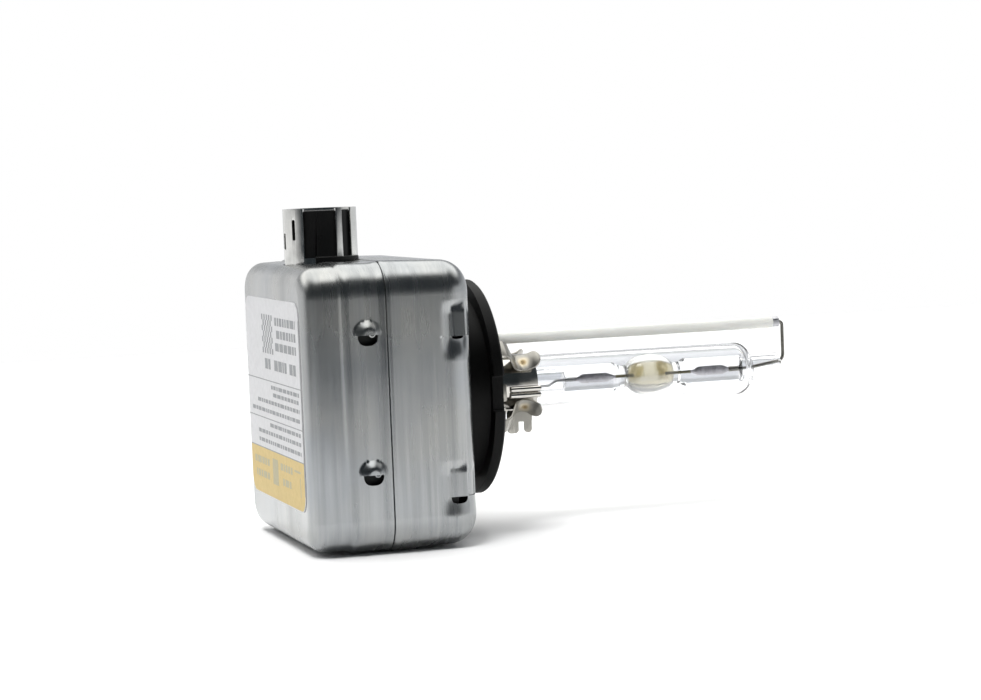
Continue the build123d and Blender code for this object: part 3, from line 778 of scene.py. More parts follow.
def casing_ring(columns, x, outward, scale, roundness, shape):
    """Points round the casing at one x. Roundness turns the square into the neck's hole."""
    ring = []
    for core_y, core_z, across, up in columns:
        y = core_y * scale + across * outward
        z = core_z * scale + up * outward
        angle = math.atan2(z + CASING_MIDDLE, y)
        y += (NECK_HOLE * math.cos(angle) - y) * roundness
        z += (NECK_HOLE * math.sin(angle) - CASING_MIDDLE - z) * roundness
        if abs(across) == 1:
            y = math.copysign(shape(x, z + CASING_MIDDLE, abs(y)), y)
        stray = unevenness(x, y, z) if outward > 1.0 else 0.0
        ring.append((x, y + across * stray, z + up * stray + CASING_MIDDLE))
    return ring


def casing_skin(name, rings, joined):
    """A closed skin over rings of points: joined end to end, or capped at both ends."""
    faces = ring_faces(len(rings), len(rings[0]), joined)
    return make_object(name, [p for ring in rings for p in ring], faces, 28)


def slot_cutter(side, x, top, half_width, depth, power):
    """A prism through the casing's side with a straight top and a rounded lower edge."""
    outline = [(x + half_width, top), (x - half_width, top)]
    for k in range(1, 20):
        a = math.pi * k / 20
        across = math.copysign(abs(math.cos(a)) ** (2 / power), -math.cos(a))
        outline.append((x + half_width * across, top - depth * math.sin(a) ** (2 / power)))
    return prism("slot_cutter", outline, side * 15.5, side * 22.5, "Y")


def socket_cutter():
    """The round hole in the casing's top for the plug socket."""
    return prism("socket_cutter", circle_points(SOCKET_HOLE, 72, (SOCKET_X, 0)), 12.0, 24.0, "Z")


def make_rear_cover():
    """The cap: rear wall, first strip, a soft step out and the skirt with its snap hoods."""
    hoods_end = HOOD_X + HOOD_REACH
    skirt = graded((STEP_END + 0.1, hoods_end, 0.15), (hoods_end + 0.1, SKIRT_END - 0.1, 0.12))
    rear_middle = (CASING_REAR + REAR_ROUND, CAP_OUT - REAR_ROUND)
    rows = [(CASING_REAR, 0.0, scale) for scale in (0.7, 0.95, 1.0)] + [(CASING_REAR, 1.0, 1.0)]
    rows += [(a, b, 1.0) for a, b in arc_points(rear_middle, REAR_ROUND, 180, 90, 12)]
    rows += [(x, CAP_OUT, 1.0) for x in steps(CASING_REAR + REAR_ROUND + 0.4, STEP_START - 0.7, 0.4)]
    rows += [(STEP_START - 0.5, CAP_OUT, 1.0), (STEP_START - 0.3, CAP_OUT - 0.05, 1.0)]
    rows.append((STEP_START - 0.12, CAP_OUT - 0.07, 1.0))
    for x in steps(STEP_START, STEP_END, 0.09):
        left = (STEP_END - x) / (STEP_END - STEP_START)
        rows.append((x, CAP_OUT + (SKIRT_OUT - CAP_OUT) * (1 - left * left), 1.0))
    rows += [(x, SKIRT_OUT, 1.0) for x in skirt]
    rows += [(SKIRT_END - 0.04, SKIRT_OUT - 0.01, 1.0), (SKIRT_END, SKIRT_OUT - 0.05, 1.0)]
    rows.append((SKIRT_END, SKIRT_OUT - SHEET, 1.0))
    rows += [(x, SKIRT_OUT - SHEET, 1.0) for x in reversed(skirt)]
    rows += [(x, CAP_OUT - SHEET, 1.0) for x in steps(STEP_START, CASING_REAR + REAR_ROUND + 0.4, 0.6)]
    rows += [(a, b, 1.0) for a, b in arc_points(rear_middle, REAR_ROUND - SHEET, 90, 180, 8)]
    rows += [(CASING_REAR + SHEET, 0.0, 1.0), (CASING_REAR + SHEET, 0.0, 0.7)]

    def hooded(x, z, depth):
        return depth + (hood_height(x, z) if x > STEP_END else 0.0)

    columns = casing_columns()
    rings = [casing_ring(columns, x, out, scale, 0.0, hooded) for x, out, scale in rows]
    cover = casing_skin("rear_cover_sheet", rings, joined=False)
    for side in (-1, 1):
        for edge in HOOD_EDGES:
            mouth = slot_cutter(side, HOOD_X + 0.05, edge + 0.03, half_width=1.45, depth=1.5, power=2.6)
            combine(cover, mouth)
    return combine(cover, socket_cutter())


def make_front_cover():
    """The can: front wall round the flange's neck, rounded edge, tabs, seam edge and the hidden lap."""
    tangent = CASING_FRONT - FRONT_ROUND

    def front_round(radius, angles):
        turns = [math.radians(angle) for angle in angles]
        middle = CAN_OUT - FRONT_ROUND
        return [(tangent + radius * math.sin(a), middle + radius * math.cos(a), 0.0) for a in turns]

    rows = [(CASING_FRONT, 1.0, r) for r in (1.0, 0.6, 0.2, 0.0)]
    turns = [90 * k / 16 for k in range(15, -1, -1)]
    tab_sides = [TABS[1].rear] + [tab.front for tab in TABS]
    marks = [x + d for x in tab_sides for d in (-0.3, -0.2, -0.1, 0.0, 0.1, 0.2, 0.3)]
    turns += [math.degrees(math.asin((x - tangent) / FRONT_ROUND)) for x in marks if x > tangent + 0.05]
    rows += front_round(FRONT_ROUND, sorted(turns, reverse=True))
    lower_rear = TABS[0].rear
    flat_rows = graded((tangent - 0.15, lower_rear + 0.35, 0.12), (lower_rear + 0.3, lower_rear - 0.3, 0.1))
    flat_rows += graded((lower_rear - 0.45, -12.0, 0.2), (-12.6, SEAM + SHOULDER_ROUND + 0.15, 0.6))
    rows += [(x, CAN_OUT, 0.0) for x in flat_rows]
    shoulder = (SEAM + SHOULDER_ROUND, CAN_OUT - SHOULDER_ROUND)
    rows += [(a, b, 0.0) for a, b in arc_points(shoulder, SHOULDER_ROUND, 90, 180, 6)]
    rows += [(SEAM, LAP_OUT + 0.05, 0.0), (SEAM - 0.1, LAP_OUT, 0.0), (LAP_END, LAP_OUT, 0.0)]
    rows += [(LAP_END, LAP_OUT - SHEET, 0.0), (SEAM + SHEET, LAP_OUT - SHEET, 0.0)]
    outer_count = len(rows) - 2
    rows += [(x, CAN_OUT - SHEET, 0.0) for x in steps(SEAM + SHEET + 0.1, tangent, 0.6)]
    rows += front_round(FRONT_ROUND - SHEET, (15, 30, 45, 60, 75, 90))
    rows += [(CASING_FRONT - SHEET, 1.0, 0.5), (CASING_FRONT - SHEET, 1.0, 1.0)]
    columns = casing_columns()
    rings = []
    for i, (x, out, roundness) in enumerate(rows):
        flat = CORE_HALF + CAN_OUT - (0 if i < outer_count else SHEET)

        def tabbed(px, pz, depth):
            return tab_depth(px, pz, depth, flat) if -12.5 < px < CASING_FRONT - 0.4 else depth

        rings.append(casing_ring(columns, x, out, 1.0, roundness, tabbed))
    cover = casing_skin("front_cover_sheet", rings, joined=True)
    for side in (-1, 1):
        for tab in TABS:
            middle, half = (tab.rear + tab.front) / 2, (tab.front - tab.rear) / 2
            combine(cover, slot_cutter(side, middle + 0.05, tab.edge + 0.03, half - 0.1, tab.slot, 3.0))
        for edge in HOOD_EDGES:
            combine(cover, slot_cutter(side, HOOD_X, edge + 0.6, half_width=1.8, depth=2.4, power=3.0))
    return combine(cover, socket_cutter())


def make_hood_studs():
    """The small formed eyelets on the edges of the snap hoods."""
    studs = []
    profile = [(-0.75, 0.42), (-0.1, 0.46), (0.0, 0.4), (0.02, 0.32), (-0.02, 0.25)]
    profile += [(-0.1, 0.18), (-0.12, 0.0)]
    face = CORE_HALF + SKIRT_OUT + HOOD_RISE - 0.14
    for side in (-1, 1):
        for edge in HOOD_EDGES:
            stud = turned("stud", profile, 24, joined=False)
            stud.data.transform(Matrix.Rotation(side * math.pi / 2, 4, "Z"))
            stud.data.transform(Matrix.Translation(Vector((HOOD_X + 0.45, side * face, edge + 0.12)) * MM))
            studs.append(stud)
    return join("hood_studs", studs)


# ---------------------------------------------------------------- label

LABEL_BACK, LABEL_FACE = -29.6, -29.7
PRINT_FACE = -29.715
LABEL_WIDTH, LABEL_HEIGHT, LABEL_CORNER = 33.8, 28.9, 2.4
LABEL_MIDDLE = -0.15
YELLOW_TOP = -7.63
BLOCK_CORNER, BLOCK_CELL = (6.1, 12.0), (0.76, 0.8)


def print_bar(right, left, bottom, top):
    """A rectangle of ink between two y and two z values."""
    corners = [(right, bottom), (left, bottom), (left, top), (right, top)]
    return prism("ink", corners, LABEL_FACE, PRINT_FACE)


def word_row(left, right, middle, height, gap=0.45):
    """A row of small bars, like lines of print too small to read."""
    bars = []
    place = left
    while place > right:
        length = min(random.uniform(0.7, 2.4), place - right)
        if length > 0.3:
            bars.append(print_bar(place - length, place, middle - height / 2, middle + height / 2))
        place -= length + gap
    return bars


def make_label_ink():
    """The dark print: a border, dividers, a block of squares and rows of word-like bars."""
    half = LABEL_WIDTH / 2
    ink = [print_bar(-half + 0.02, half - 0.02, z - 0.07, z + 0.07) for z in (2.46, -3.15, YELLOW_TOP)]
    top, bottom = LABEL_MIDDLE + LABEL_HEIGHT / 2, LABEL_MIDDLE - LABEL_HEIGHT / 2
    ink.append(print_bar(-half + 0.02, -half + 0.18, bottom + LABEL_CORNER, top - LABEL_CORNER))
    for row in range(7):
        for column in range(9):
            if (row + column) % 2 == 0:
                y, z = BLOCK_CORNER[0] - column * BLOCK_CELL[0], BLOCK_CORNER[1] - row * BLOCK_CELL[1]
                ink.append(print_bar(y - BLOCK_CELL[0], y, z - BLOCK_CELL[1], z))
    for middle, left in ((11.2, -2.4), (9.4, -3.2), (7.6, -2.2)):
        ink += word_row(left, -15.0, middle, 1.15, 0.5)
    for left, right in ((4.9, 1.4), (-1.1, -8.8), (-10.6, -14.8)):
        ink += word_row(left, right, 4.9, 1.5, 0.4)
    upper_lines = ((1.6, 1.7), (0.55, 0.6), (-0.65, 10.8), (-2.0, 14.6))
    lower_lines = ((-3.95, 3.4), (-5.2, 11.1), (-6.5, 11.0))
    for middle, left in upper_lines + lower_lines:
        ink += word_row(left, -15.6, middle, 0.55)
    return join("label_ink", ink)


def make_label_yellow():
    """The yellow field at the label's foot."""
    half = LABEL_WIDTH / 2 - 0.18
    bottom = LABEL_MIDDLE - LABEL_HEIGHT / 2 + 0.15
    corner = LABEL_CORNER - 0.15
    outline = [(half, YELLOW_TOP - 0.07), (-half, YELLOW_TOP - 0.07)]
    outline += arc_points((-half + corner, bottom + corner), corner, 180, 270)
    outline += arc_points((half - corner, bottom + corner), corner, 270, 360)
    return prism("label_yellow", outline, LABEL_FACE, LABEL_FACE - 0.008)


def make_yellow_ink():
    """Grey bars on the yellow field."""
    ink = word_row(14.5, 4.6, -9.6, 1.0) + word_row(13.8, 5.2, -11.6, 1.0)
    ink += word_row(-2.2, -9.6, -9.4, 1.0) + word_row(-3.4, -9.0, -11.5, 1.0)
    ink += [print_bar(-0.6, 2.9, -12.4, -8.7)]
    ink += [print_bar(-14.6, -10.8, -9.3, -9.0), print_bar(-14.4, -14.1, -12.6, -9.9)]
    return join("label_yellow_ink", ink)


# ---------------------------------------------------------------- plug socket

COLLAR_RADIUS, COLLAR_SHEET = 5.25, 0.35
COLLAR_BOTTOM, COLLAR_TOP = 16.7, 26.9
WINDOW_BOTTOM, WINDOW_ANGLES = 19.95, ((-130, -78), (-67, -47))
COLLAR_SLOTS = ((-149, 23.95, 0.6, 2.9), (-178, 22.35, 0.9, 2.3))  # angle, middle height, width and length
INSERT_TOP, SOCKET_FLOOR = 26.6, 20.6


def make_collar():
    """The rolled collar, with a wide and a narrow window on the near side and two slots."""
    outer = circle_points(COLLAR_RADIUS, 120, (SOCKET_X, 0))
    inner = circle_points(COLLAR_RADIUS - COLLAR_SHEET, 120, (SOCKET_X, 0))
    collar = prism("collar", outer, COLLAR_BOTTOM, COLLAR_TOP, "Z")
    combine(collar, prism("bore", inner, COLLAR_BOTTOM - 1, COLLAR_TOP + 1, "Z"))
    for start, stop in WINDOW_ANGLES:
        wedge = [(SOCKET_X, 0.0)] + arc_points((SOCKET_X, 0), 8.0, start, stop, 6)
        combine(collar, prism("window", wedge, WINDOW_BOTTOM, COLLAR_TOP + 1, "Z"))
    for angle, middle, width, height in COLLAR_SLOTS:
        slot = prism("slot", rounded_rectangle(width, height, 0.2, (0, middle)), 3.5, 8.0)
        slot.data.transform(Matrix.Rotation(math.radians(angle), 4, "Z"))
        slot.data.transform(Matrix.Translation((SOCKET_X * MM, 0, 0)))
        combine(collar, slot)
    return round_edges(collar, 0.07, 2, 50)


def make_insert():
    """The black insert: a square foot, a round body with a key ledge and the socket's recess."""
    middle = (SOCKET_X, 0)
    foot = prism("foot", rounded_rectangle(10.8, 12.8, 0.6, middle), 15.2, COLLAR_BOTTOM, "Z")
    body = prism("body", circle_points(4.8, 96, middle), 16.0, INSERT_TOP, "Z")
    insert = combine(foot, body, "UNION")
    ledge = arc_points(middle, 5.85, -112, -38, 16)
    ledge += arc_points(middle, 4.5, -38, -112, 16)
    combine(insert, prism("ledge", ledge, 19.0, WINDOW_BOTTOM + 0.1, "Z"), "UNION")
    recess = rounded_rectangle(7.0, 4.3, 0.5, middle)
    combine(insert, prism("recess", recess, SOCKET_FLOOR, INSERT_TOP + 1, "Z"))
    return round_edges(insert, 0.12, 3, 50)


def make_pins():
    """Four round pins with chamfered tips."""
    pins = []
    for x in (SOCKET_X - 2.9, SOCKET_X + 2.9):
        for y in (-1.2, 1.2):
            pins.append(rod("pin", [(x, y, 13.7), (x, y, 25.4)], 0.4, 24, 0.15))
    return join("socket_pins", pins)


# ---------------------------------------------------------------- flange, bracket and band

RIM_RADIUS, RIM_THICKNESS = 15.6, 1.6
NECK_RADIUS, INNER_RIM_RADIUS = 13.6, 15.2
INNER_RIM_FRONT, INNER_RIM_REAR = -6.05, -8.05
HUB_RADIUS, HUB_HEIGHT = 8.6, 1.0
STEM_RADIUS = 2.05
RETURN_HEIGHT = 6.7
BRACKET_SHEET = 0.3
ARM_ROOT, ARM_TURN, ARM_HALF_WIDTH = 8.0, 62, 1.45
ARM_OUTER_BEND, ARM_INNER_BEND, ARM_FLARE_BEND, ARM_FLARE_TURN = 1.9, 1.5, 3.0, 38
ARM_STRAIGHT, ARM_LIP, ARM_TIP = 1.3, 1.2, 1.35
ARM_ANGLES = (45, 135, 225, 315)
FORK_DEPTH = -2.55
BAND_INNER, BAND_OUTER = 3.98, 4.26
BAND_REAR, BAND_FRONT = 3.0, 8.6
BEAD_RADIUS = 0.42


def make_flange():
    """The black moulding: rim with three notches, neck, inner rim and hub, hollow from behind."""
    outline = [
        (INNER_RIM_REAR, 2.1),
        (INNER_RIM_REAR, 9.4),
        (-1.9, 9.4),
        (-1.9, 12.2),
        (INNER_RIM_REAR, 12.2),
        (INNER_RIM_REAR, INNER_RIM_RADIUS),
        (INNER_RIM_FRONT, INNER_RIM_RADIUS),
        (INNER_RIM_FRONT, NECK_RADIUS),
        (-RIM_THICKNESS, NECK_RADIUS),
        (-RIM_THICKNESS, RIM_RADIUS),
        (-0.25, RIM_RADIUS),
        (0.0, RIM_RADIUS - 0.25),
        (0.0, 11.6),
        (-0.25, 11.4),
        (-0.25, 9.3),
        (0.0, 9.1),
        (0.0, HUB_RADIUS),
        (HUB_HEIGHT, HUB_RADIUS),
        (HUB_HEIGHT, 2.1),
    ]
    flange = turned("flange", outline, 180)
    for angle in (0, 90, 180):
        notch = prism("notch", rounded_rectangle(5.0, 2.4, 0.3, (0, RIM_RADIUS)), -4.0, 2.0)
        combine(flange, turn_about_burner(notch, angle + 90))
    combine(flange, prism("passage", circle_points(0.9, 40, (0, RETURN_HEIGHT)), -9.0, 2.0))
    return round_edges(flange, 0.12, 3, 50)


def make_bracket():
    """A ring on the hub with four leaf arms that bear on the band, a fork on one arm and a stop tab."""
    ring = turned("ring", tube_outline(HUB_HEIGHT, HUB_HEIGHT + BRACKET_SHEET, 8.4, 4.45), 120)
    gap = prism("gap", circle_points(1.15, 40, (0, RETURN_HEIGHT)), 0.5, 2.0)
    parts = [combine(ring, gap)]
    contact = BAND_OUTER + BRACKET_SHEET / 2 + 0.02
    bends_drop = (ARM_OUTER_BEND + ARM_INNER_BEND) * (1 - math.cos(math.radians(ARM_TURN)))
    slope = (ARM_ROOT - contact - bends_drop) / math.sin(math.radians(ARM_TURN))
    moves = [
        (ARM_STRAIGHT, 0),
        (ARM_OUTER_BEND, -ARM_TURN),
        (slope, 0),
        (ARM_INNER_BEND, ARM_TURN),
        (ARM_FLARE_BEND, ARM_FLARE_TURN),
        (ARM_LIP, 0),
    ]
    path = strip_path((HUB_HEIGHT, ARM_ROOT), moves, 0.12)
    lengths = [0.0]
    for (a, _), (b, _) in zip(path, path[1:]):
        lengths.append(lengths[-1] + (b - a).length)
    widths = []
    for length in lengths:
        past = max(0.0, (length - lengths[-1] + ARM_TIP) / ARM_TIP)
        widths.append(max(0.35, ARM_HALF_WIDTH * math.sqrt(max(0.0, 1 - past**2.4))))
    for angle in ARM_ANGLES:
        arm = bent_strip("arm", path, widths, BRACKET_SHEET)
        parts.append(turn_about_burner(arm, angle - 90))
    fork_sheet = (FORK_DEPTH, FORK_DEPTH + BRACKET_SHEET, "Y")
    fork = prism("fork", rounded_rectangle(3.8, 1.7, 0.3, (6.1, -4.6)), *fork_sheet)
    for x, width in ((5.05, 1.7), (7.35, 1.15)):
        combine(fork, prism("prong", rounded_rectangle(width, 2.9, 0.56, (x, -5.65)), *fork_sheet), "UNION")
    parts.append(fork)
    parts.append(prism("tab", rounded_rectangle(2.4, 2.5, 0.25, (2.2, -0.85)), -5.35, -5.05, "Y"))
    for part in parts:
        round_edges(part, 0.07, 2, 50)
    return join("bracket", parts)


def make_welds():
    """A shallow burnt crater where each arm is welded to the band."""
    welds = []
    outer = BAND_OUTER + BRACKET_SHEET + 0.02
    profile = [(-0.1, 0.42), (0.02, 0.4), (0.05, 0.32), (0.02, 0.2), (-0.02, 0.0)]
    for angle in ARM_ANGLES:
        weld = turned("weld", profile, 24, joined=False)
        weld.data.transform(Matrix.Rotation(-math.pi / 2, 4, "Y"))
        weld.data.transform(Matrix.Translation(Vector((WELD_X, 0, outer)) * MM))
        welds.append(turn_about_burner(weld, angle - 90))
    return join("welds", welds)


def make_band():
    """The rolled band round the outer bulb and the two beads that close it."""
    parts = [turned("band", tube_outline(BAND_REAR, BAND_FRONT, BAND_OUTER, BAND_INNER, 0.06), 144)]
    distance = BAND_OUTER + BEAD_RADIUS / 2
    for angle in (187, 199):
        a = math.radians(angle)
        y, z = distance * math.cos(a), distance * math.sin(a)
        ends = [(BAND_REAR + 1.2, y, z), (BAND_FRONT + 0.3, y, z)]
        parts.append(rod("bead", ends, BEAD_RADIUS, 32, 0.1))
    return join("burner_band_strip", parts)


# ---------------------------------------------------------------- burner

BULB_RADIUS, BULB_WALL = 3.95, 0.75
BULB_REAR, BULB_SHOULDER, BULB_END = 1.5, 41.2, 43.4
ARC_GAP = 4.2
ARC_BULB_HALF, ARC_BULB_RADIUS = 3.95, 2.95
CHAMBER_HALF, CHAMBER_RADIUS = 3.55, 1.4
STEM_REAR, STEM_FRONT, STEM_BORE, PINCH = -3.0, 48.1, 1.25, 0.45
FOIL_LENGTH, FOIL_WIDTH, FOIL_THICKNESS = 6.6, 0.9, 0.08
REAR_FOIL, FRONT_FOIL = 15.0, 33.7
LEAD_RADIUS, RETURN_RADIUS, ELECTRODE_RADIUS = 0.2, 0.25, 0.15
RETURN_FRONT, WIRE_END = 49.3, -12.0
CERAMIC_REAR, CERAMIC_FRONT, CERAMIC_RADIUS = -2.4, 47.6, 0.85


def ellipse_between(half_length, radius, start, stop, count=24):
    """Points (x, radius) on the arc chamber's barrel shape."""
    points = []
    for k in range(count + 1):
        a = math.radians(start + (stop - start) * k / count)
        along = math.copysign(abs(math.cos(a)) ** 0.85, math.cos(a))
        points.append((ARC_CENTRE + half_length * along, radius * abs(math.sin(a)) ** 0.85))
    return points


def make_outer_bulb():
    """The thin envelope, drawn in at both ends onto the arc tube's stems."""
    closed = STEM_RADIUS + 0.02
    outline = [(BULB_REAR, closed), (BULB_REAR, BULB_RADIUS - 0.8)]
    outline += arc_points((BULB_REAR + 0.8, BULB_RADIUS - 0.8), 0.8, 180, 90, 8)
    outline += arc_points((BULB_SHOULDER, BULB_RADIUS - 2.15), 2.15, 90, 12, 16)
    outline += [(BULB_END, closed + 0.28), (BULB_END, closed), (BULB_END - BULB_WALL, closed)]
    inside = BULB_RADIUS - BULB_WALL
    outline += arc_points((BULB_SHOULDER - 0.2, inside - 1.6), 1.6, 20, 90, 12)
    outline += [(BULB_REAR + 1.9, inside), (BULB_REAR + 1.3, inside - 0.5), (BULB_REAR + 1.1, closed)]
    return turned("outer_envelope", outline, 160, sharp_angle=50)


def make_arc_tube():
    """The inner burner: stems pinched beside a barrel-shaped bulb and bored at both ends."""
    rear_neck = ARC_CENTRE - ARC_BULB_HALF - 0.6
    front_neck = ARC_CENTRE + ARC_BULB_HALF + 0.6
    seal_rear, seal_front = REAR_FOIL - 1.2, FRONT_FOIL + FOIL_LENGTH + 1.2
    outline = [(seal_rear, 0.0), (seal_rear, 0.5), (seal_rear - 0.4, STEM_BORE)]
    outline += [(STEM_REAR, STEM_BORE), (STEM_REAR, STEM_RADIUS)]
    for x in steps(rear_neck - 1.3, rear_neck + 0.5, 0.12):
        outline.append((x, STEM_RADIUS - PINCH * smooth(x, rear_neck - 1.2, rear_neck - 0.2)))
    barrel = ellipse_between(ARC_BULB_HALF, ARC_BULB_RADIUS, 180, 0, 48)
    outline += [(x, radius) for x, radius in barrel if radius > STEM_RADIUS - PINCH]
    for x in steps(front_neck - 0.5, front_neck + 1.3, 0.12):
        outline.append((x, STEM_RADIUS - PINCH * (1 - smooth(x, front_neck + 0.2, front_neck + 1.2))))
    outline += [(STEM_FRONT, STEM_RADIUS), (STEM_FRONT, STEM_BORE)]
    outline += [(seal_front + 0.4, STEM_BORE), (seal_front, 0.5), (seal_front, 0.0)]
    return turned_from_axis("arc_tube_glass", outline, 128)


def make_foil(name, start):
    """A thin pointed strip on edge, faintly crinkled, with its welded tails."""
    end = start + FOIL_LENGTH
    places = steps(start - 0.1, end + 0.1, 0.15)
    edge = FOIL_THICKNESS / 2
    vertices = []
    for x in places:
        taper = min(smooth(x, start, start + 1.7), 1 - smooth(x, end - 1.7, end))
        half = 0.12 + (FOIL_WIDTH / 2 - 0.12) * taper
        wave = 0.03 * math.sin(x * 5.1) * taper
        vertices += [(x, wave - edge, half * 0.8), (x, wave - edge, -half * 0.8), (x, wave, -half)]
        vertices += [(x, wave + edge, -half * 0.8), (x, wave + edge, half * 0.8), (x, wave, half)]
    return make_object(name, vertices, ring_faces(len(places), 6), 60)


def make_electrode(name, foil_end, tip):
    """A tungsten rod with a rounded tip that reaches into the chamber."""
    toward = 1 if tip > foil_end else -1
    outline = [(foil_end, ELECTRODE_RADIUS), (tip - toward * 0.35, ELECTRODE_RADIUS)]
    outline += [(tip - toward * 0.3, 0.2), (tip - toward * 0.08, 0.2), (tip, 0.12)]
    return turned(name, outline, 24, joined=False)


def make_deposit():
    """The salt: a film over the lower chamber, thick at the bottom and thin up the walls."""
    count = 64
    outline = ellipse_between(CHAMBER_HALF * 0.985, CHAMBER_RADIUS * 0.985, 172, 8, 36)
    vertices = []
    for layer in (0, 1):
        for x, radius in outline:
            for y, z in circle_points(radius, count):
                low = max(0.0, -z / CHAMBER_RADIUS)
                thickness = 0.06 + 0.2 * low**3
                grain = 1 + 0.35 * noise.noise(Vector((x * 2.2, y * 2.2, z * 2.2)))
                inward = 1 - layer * thickness * grain / max(radius, 0.3)
                vertices.append((x, y * inward, z * inward))
    rows = len(outline)
    inner = rows * count
    faces = ring_faces(rows, count, capped=False) + ring_faces(rows, count, capped=False, first=inner)
    for a in (0, (rows - 1) * count):
        for k in range(count):
            m = (k + 1) % count
            faces.append((a + k, a + m, inner + a + m, inner + a + k))
    return make_object("halide_film", vertices, faces, 80)


def make_rear_lead():
    """The lead from the igniter, with the slack kink in front of the first foil."""
    kink = 0.7
    places = ((WIRE_END, 0), (4, 0), (7, -kink), (11.1, -kink), (12.3, 0), (REAR_FOIL + 0.4, 0))
    route = bent_route([(x, 0, z) for x, z in places], 0.6)
    return rod("lead_wire", route, LEAD_RADIUS, 20, 0.03)


def make_return_wire():
    """The bare wire from the front foil round the tip and back inside the ceramic tube."""
    start = (FRONT_FOIL + FOIL_LENGTH - 0.4, 0, 0)
    top_corner = (RETURN_FRONT, 0, RETURN_HEIGHT)
    route = bent_route([start, (43.5, 0, 0), (RETURN_FRONT, 0, 0.9), top_corner], 1.0, 14)[:-1]
    route += bent_route([route[-1], top_corner, (WIRE_END, 0, RETURN_HEIGHT)], 0.55, 12)[1:]
    return rod("return_lead", route, RETURN_RADIUS, 24, 0.03)


def make_ceramic():
    """The long insulating tube over the return wire."""
    outline = tube_outline(CERAMIC_REAR, CERAMIC_FRONT, CERAMIC_RADIUS, 0.32, 0.08)
    return turned("ceramic", outline, 64, RETURN_HEIGHT)


def make_sleeve():
    """The crimped sleeve at the tube's end, squeezed flat on two sides."""
    start = CERAMIC_FRONT + 0.05
    outline = tube_outline(start, start + 1.0, 0.75, RETURN_RADIUS + 0.02, 0.08)
    sleeve = turned("sleeve", outline, 48, RETURN_HEIGHT)
    for vertex in sleeve.data.vertices:
        side = vertex.co.y / MM
        if abs(side) > 0.6:
            vertex.co.y = math.copysign(0.6 + (abs(side) - 0.6) * 0.2, side) * MM
    return sleeve


# ---------------------------------------------------------------- build the visible pieces

steel = satin_steel()
paper_white = printed("label_film", (0.62, 0.62, 0.635))
ink_grey = printed("label_ink", (0.26, 0.27, 0.28))
paper_yellow = printed("label_yellow", (0.60, 0.45, 0.17))
ink_on_yellow = printed("label_yellow_ink", (0.42, 0.38, 0.24))
collar_steel = bright_steel("collar_steel", (0.72, 0.72, 0.7), 0.14, 0.3)
socket_plastic = black_plastic("socket_plastic", 0.3, 0.006)
flange_plastic = black_plastic("flange_plastic", 0.45, 0.002, 0.12)
spring = spring_steel()
band_steel = bright_steel("band_steel", (0.66, 0.64, 0.6), 0.1, 0.22)
foil_metal = molybdenum()
tungsten = dark_wire("tungsten", (0.12, 0.11, 0.07))
lead_metal = dark_wire("lead_molybdenum", (0.25, 0.25, 0.25))
nickel_wire = dark_wire("nickel_wire", (0.16, 0.155, 0.14))
sleeve_metal = bright_steel("sleeve_metal", (0.6, 0.6, 0.63), 0.3, 0.5)
rear_tip, front_tip = ARC_CENTRE - ARC_GAP / 2, ARC_CENTRE + ARC_GAP / 2

finish_piece(make_rear_cover(), steel, "casing_steel", "rear_cover")
finish_piece(make_front_cover(), steel, "casing_steel", "front_cover")
finish_piece(make_hood_studs(), steel, "casing_steel")
label_outline = rounded_rectangle(LABEL_WIDTH, LABEL_HEIGHT, LABEL_CORNER, (0, LABEL_MIDDLE))
label = prism("label_plate", label_outline, LABEL_BACK, LABEL_FACE)
finish_piece(label, paper_white, "label_paper", "rating_label")
finish_piece(make_label_ink(), ink_grey, "label_paper")
finish_piece(make_label_yellow(), paper_yellow, "label_paper")
finish_piece(make_yellow_ink(), ink_on_yellow, "label_paper")
finish_piece(make_collar(), collar_steel, "collar_steel", "connector_shield")
finish_piece(make_insert(), socket_plastic, "socket_plastic", "connector_housing")
finish_piece(make_pins(), bright_steel("pin_metal"), "pin_metal", "connector_pins")
finish_piece(make_flange(), flange_plastic, "flange_plastic", "base_flange")
finish_piece(make_bracket(), spring, "bracket_steel", "mounting_bracket")
finish_piece(make_welds(), spring, "bracket_steel")
finish_piece(make_band(), band_steel, "band_steel", "burner_band")
finish_piece(make_outer_bulb(), clear_quartz(), "quartz", "outer_bulb")
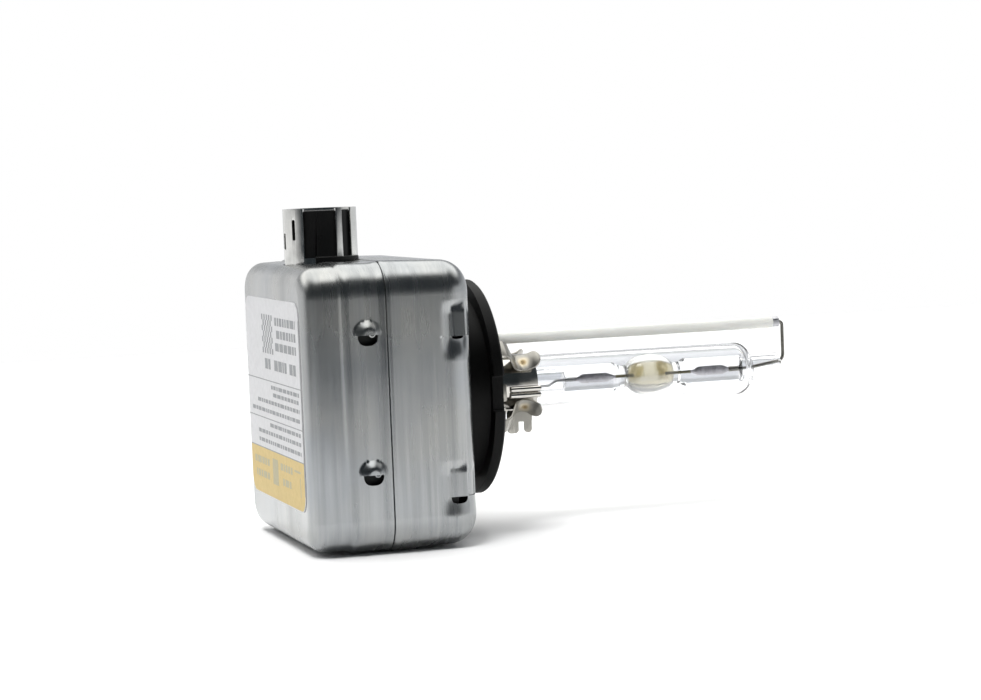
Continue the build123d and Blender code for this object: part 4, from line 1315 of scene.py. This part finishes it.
finish_piece(make_arc_tube(), milky_quartz(), "quartz", "arc_tube")
finish_piece(make_foil("rear_foil_strip", REAR_FOIL), foil_metal, "molybdenum", "rear_foil")
finish_piece(make_foil("front_foil_strip", FRONT_FOIL), foil_metal, "molybdenum", "front_foil")
rear_rod = make_electrode("rear_rod", REAR_FOIL + FOIL_LENGTH, rear_tip)
finish_piece(rear_rod, tungsten, "tungsten", "rear_electrode")
front_rod = make_electrode("front_rod", FRONT_FOIL, front_tip)
finish_piece(front_rod, tungsten, "tungsten", "front_electrode")
finish_piece(make_deposit(), salt_film(), "halide_salt", "halide_deposit")
finish_piece(make_rear_lead(), lead_metal, "molybdenum", "rear_lead_wire")
finish_piece(make_return_wire(), nickel_wire, "nickel_wire", "return_wire")
finish_piece(make_ceramic(), alumina(), "alumina", "ceramic_tube")
finish_piece(make_sleeve(), sleeve_metal, "sleeve_metal", "wire_sleeve")


# ---------------------------------------------------------------- inner pieces keep their CAD shapes

inner_looks = {
    "igniter_tray": black_plastic("tray_plastic"),
    "circuit_board": printed("board_green", (0.03, 0.14, 0.06), 0.4),
    "transformer_core": black_plastic("ferrite", 0.6, 0.02),
    "transformer_bobbin": printed("former_ivory", (0.62, 0.6, 0.5), 0.5),
    "secondary_winding": dark_wire("copper_fine", (0.55, 0.22, 0.09)),
    "primary_winding": dark_wire("copper_strap", (0.6, 0.26, 0.12)),
    "spark_gap_body": alumina(),
    "spark_gap_caps": bright_steel("gap_caps"),
    "ignition_capacitor": printed("capacitor_red", (0.35, 0.03, 0.02), 0.35),
    "discharge_resistor": printed("resistor_blue", (0.3, 0.42, 0.5), 0.4),
    "high_voltage_terminal": dark_wire("terminal_brass", (0.6, 0.42, 0.18)),
    "return_terminal": dark_wire("terminal_return", (0.6, 0.42, 0.18)),
    "potting_layer": black_plastic("casting_resin", 0.3, 0.03),
}

for node_name, look in inner_looks.items():
    node_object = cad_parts[node_name]
    node_object.data.materials.clear()
    node_object.data.materials.append(look)
    shade(node_object, 30)
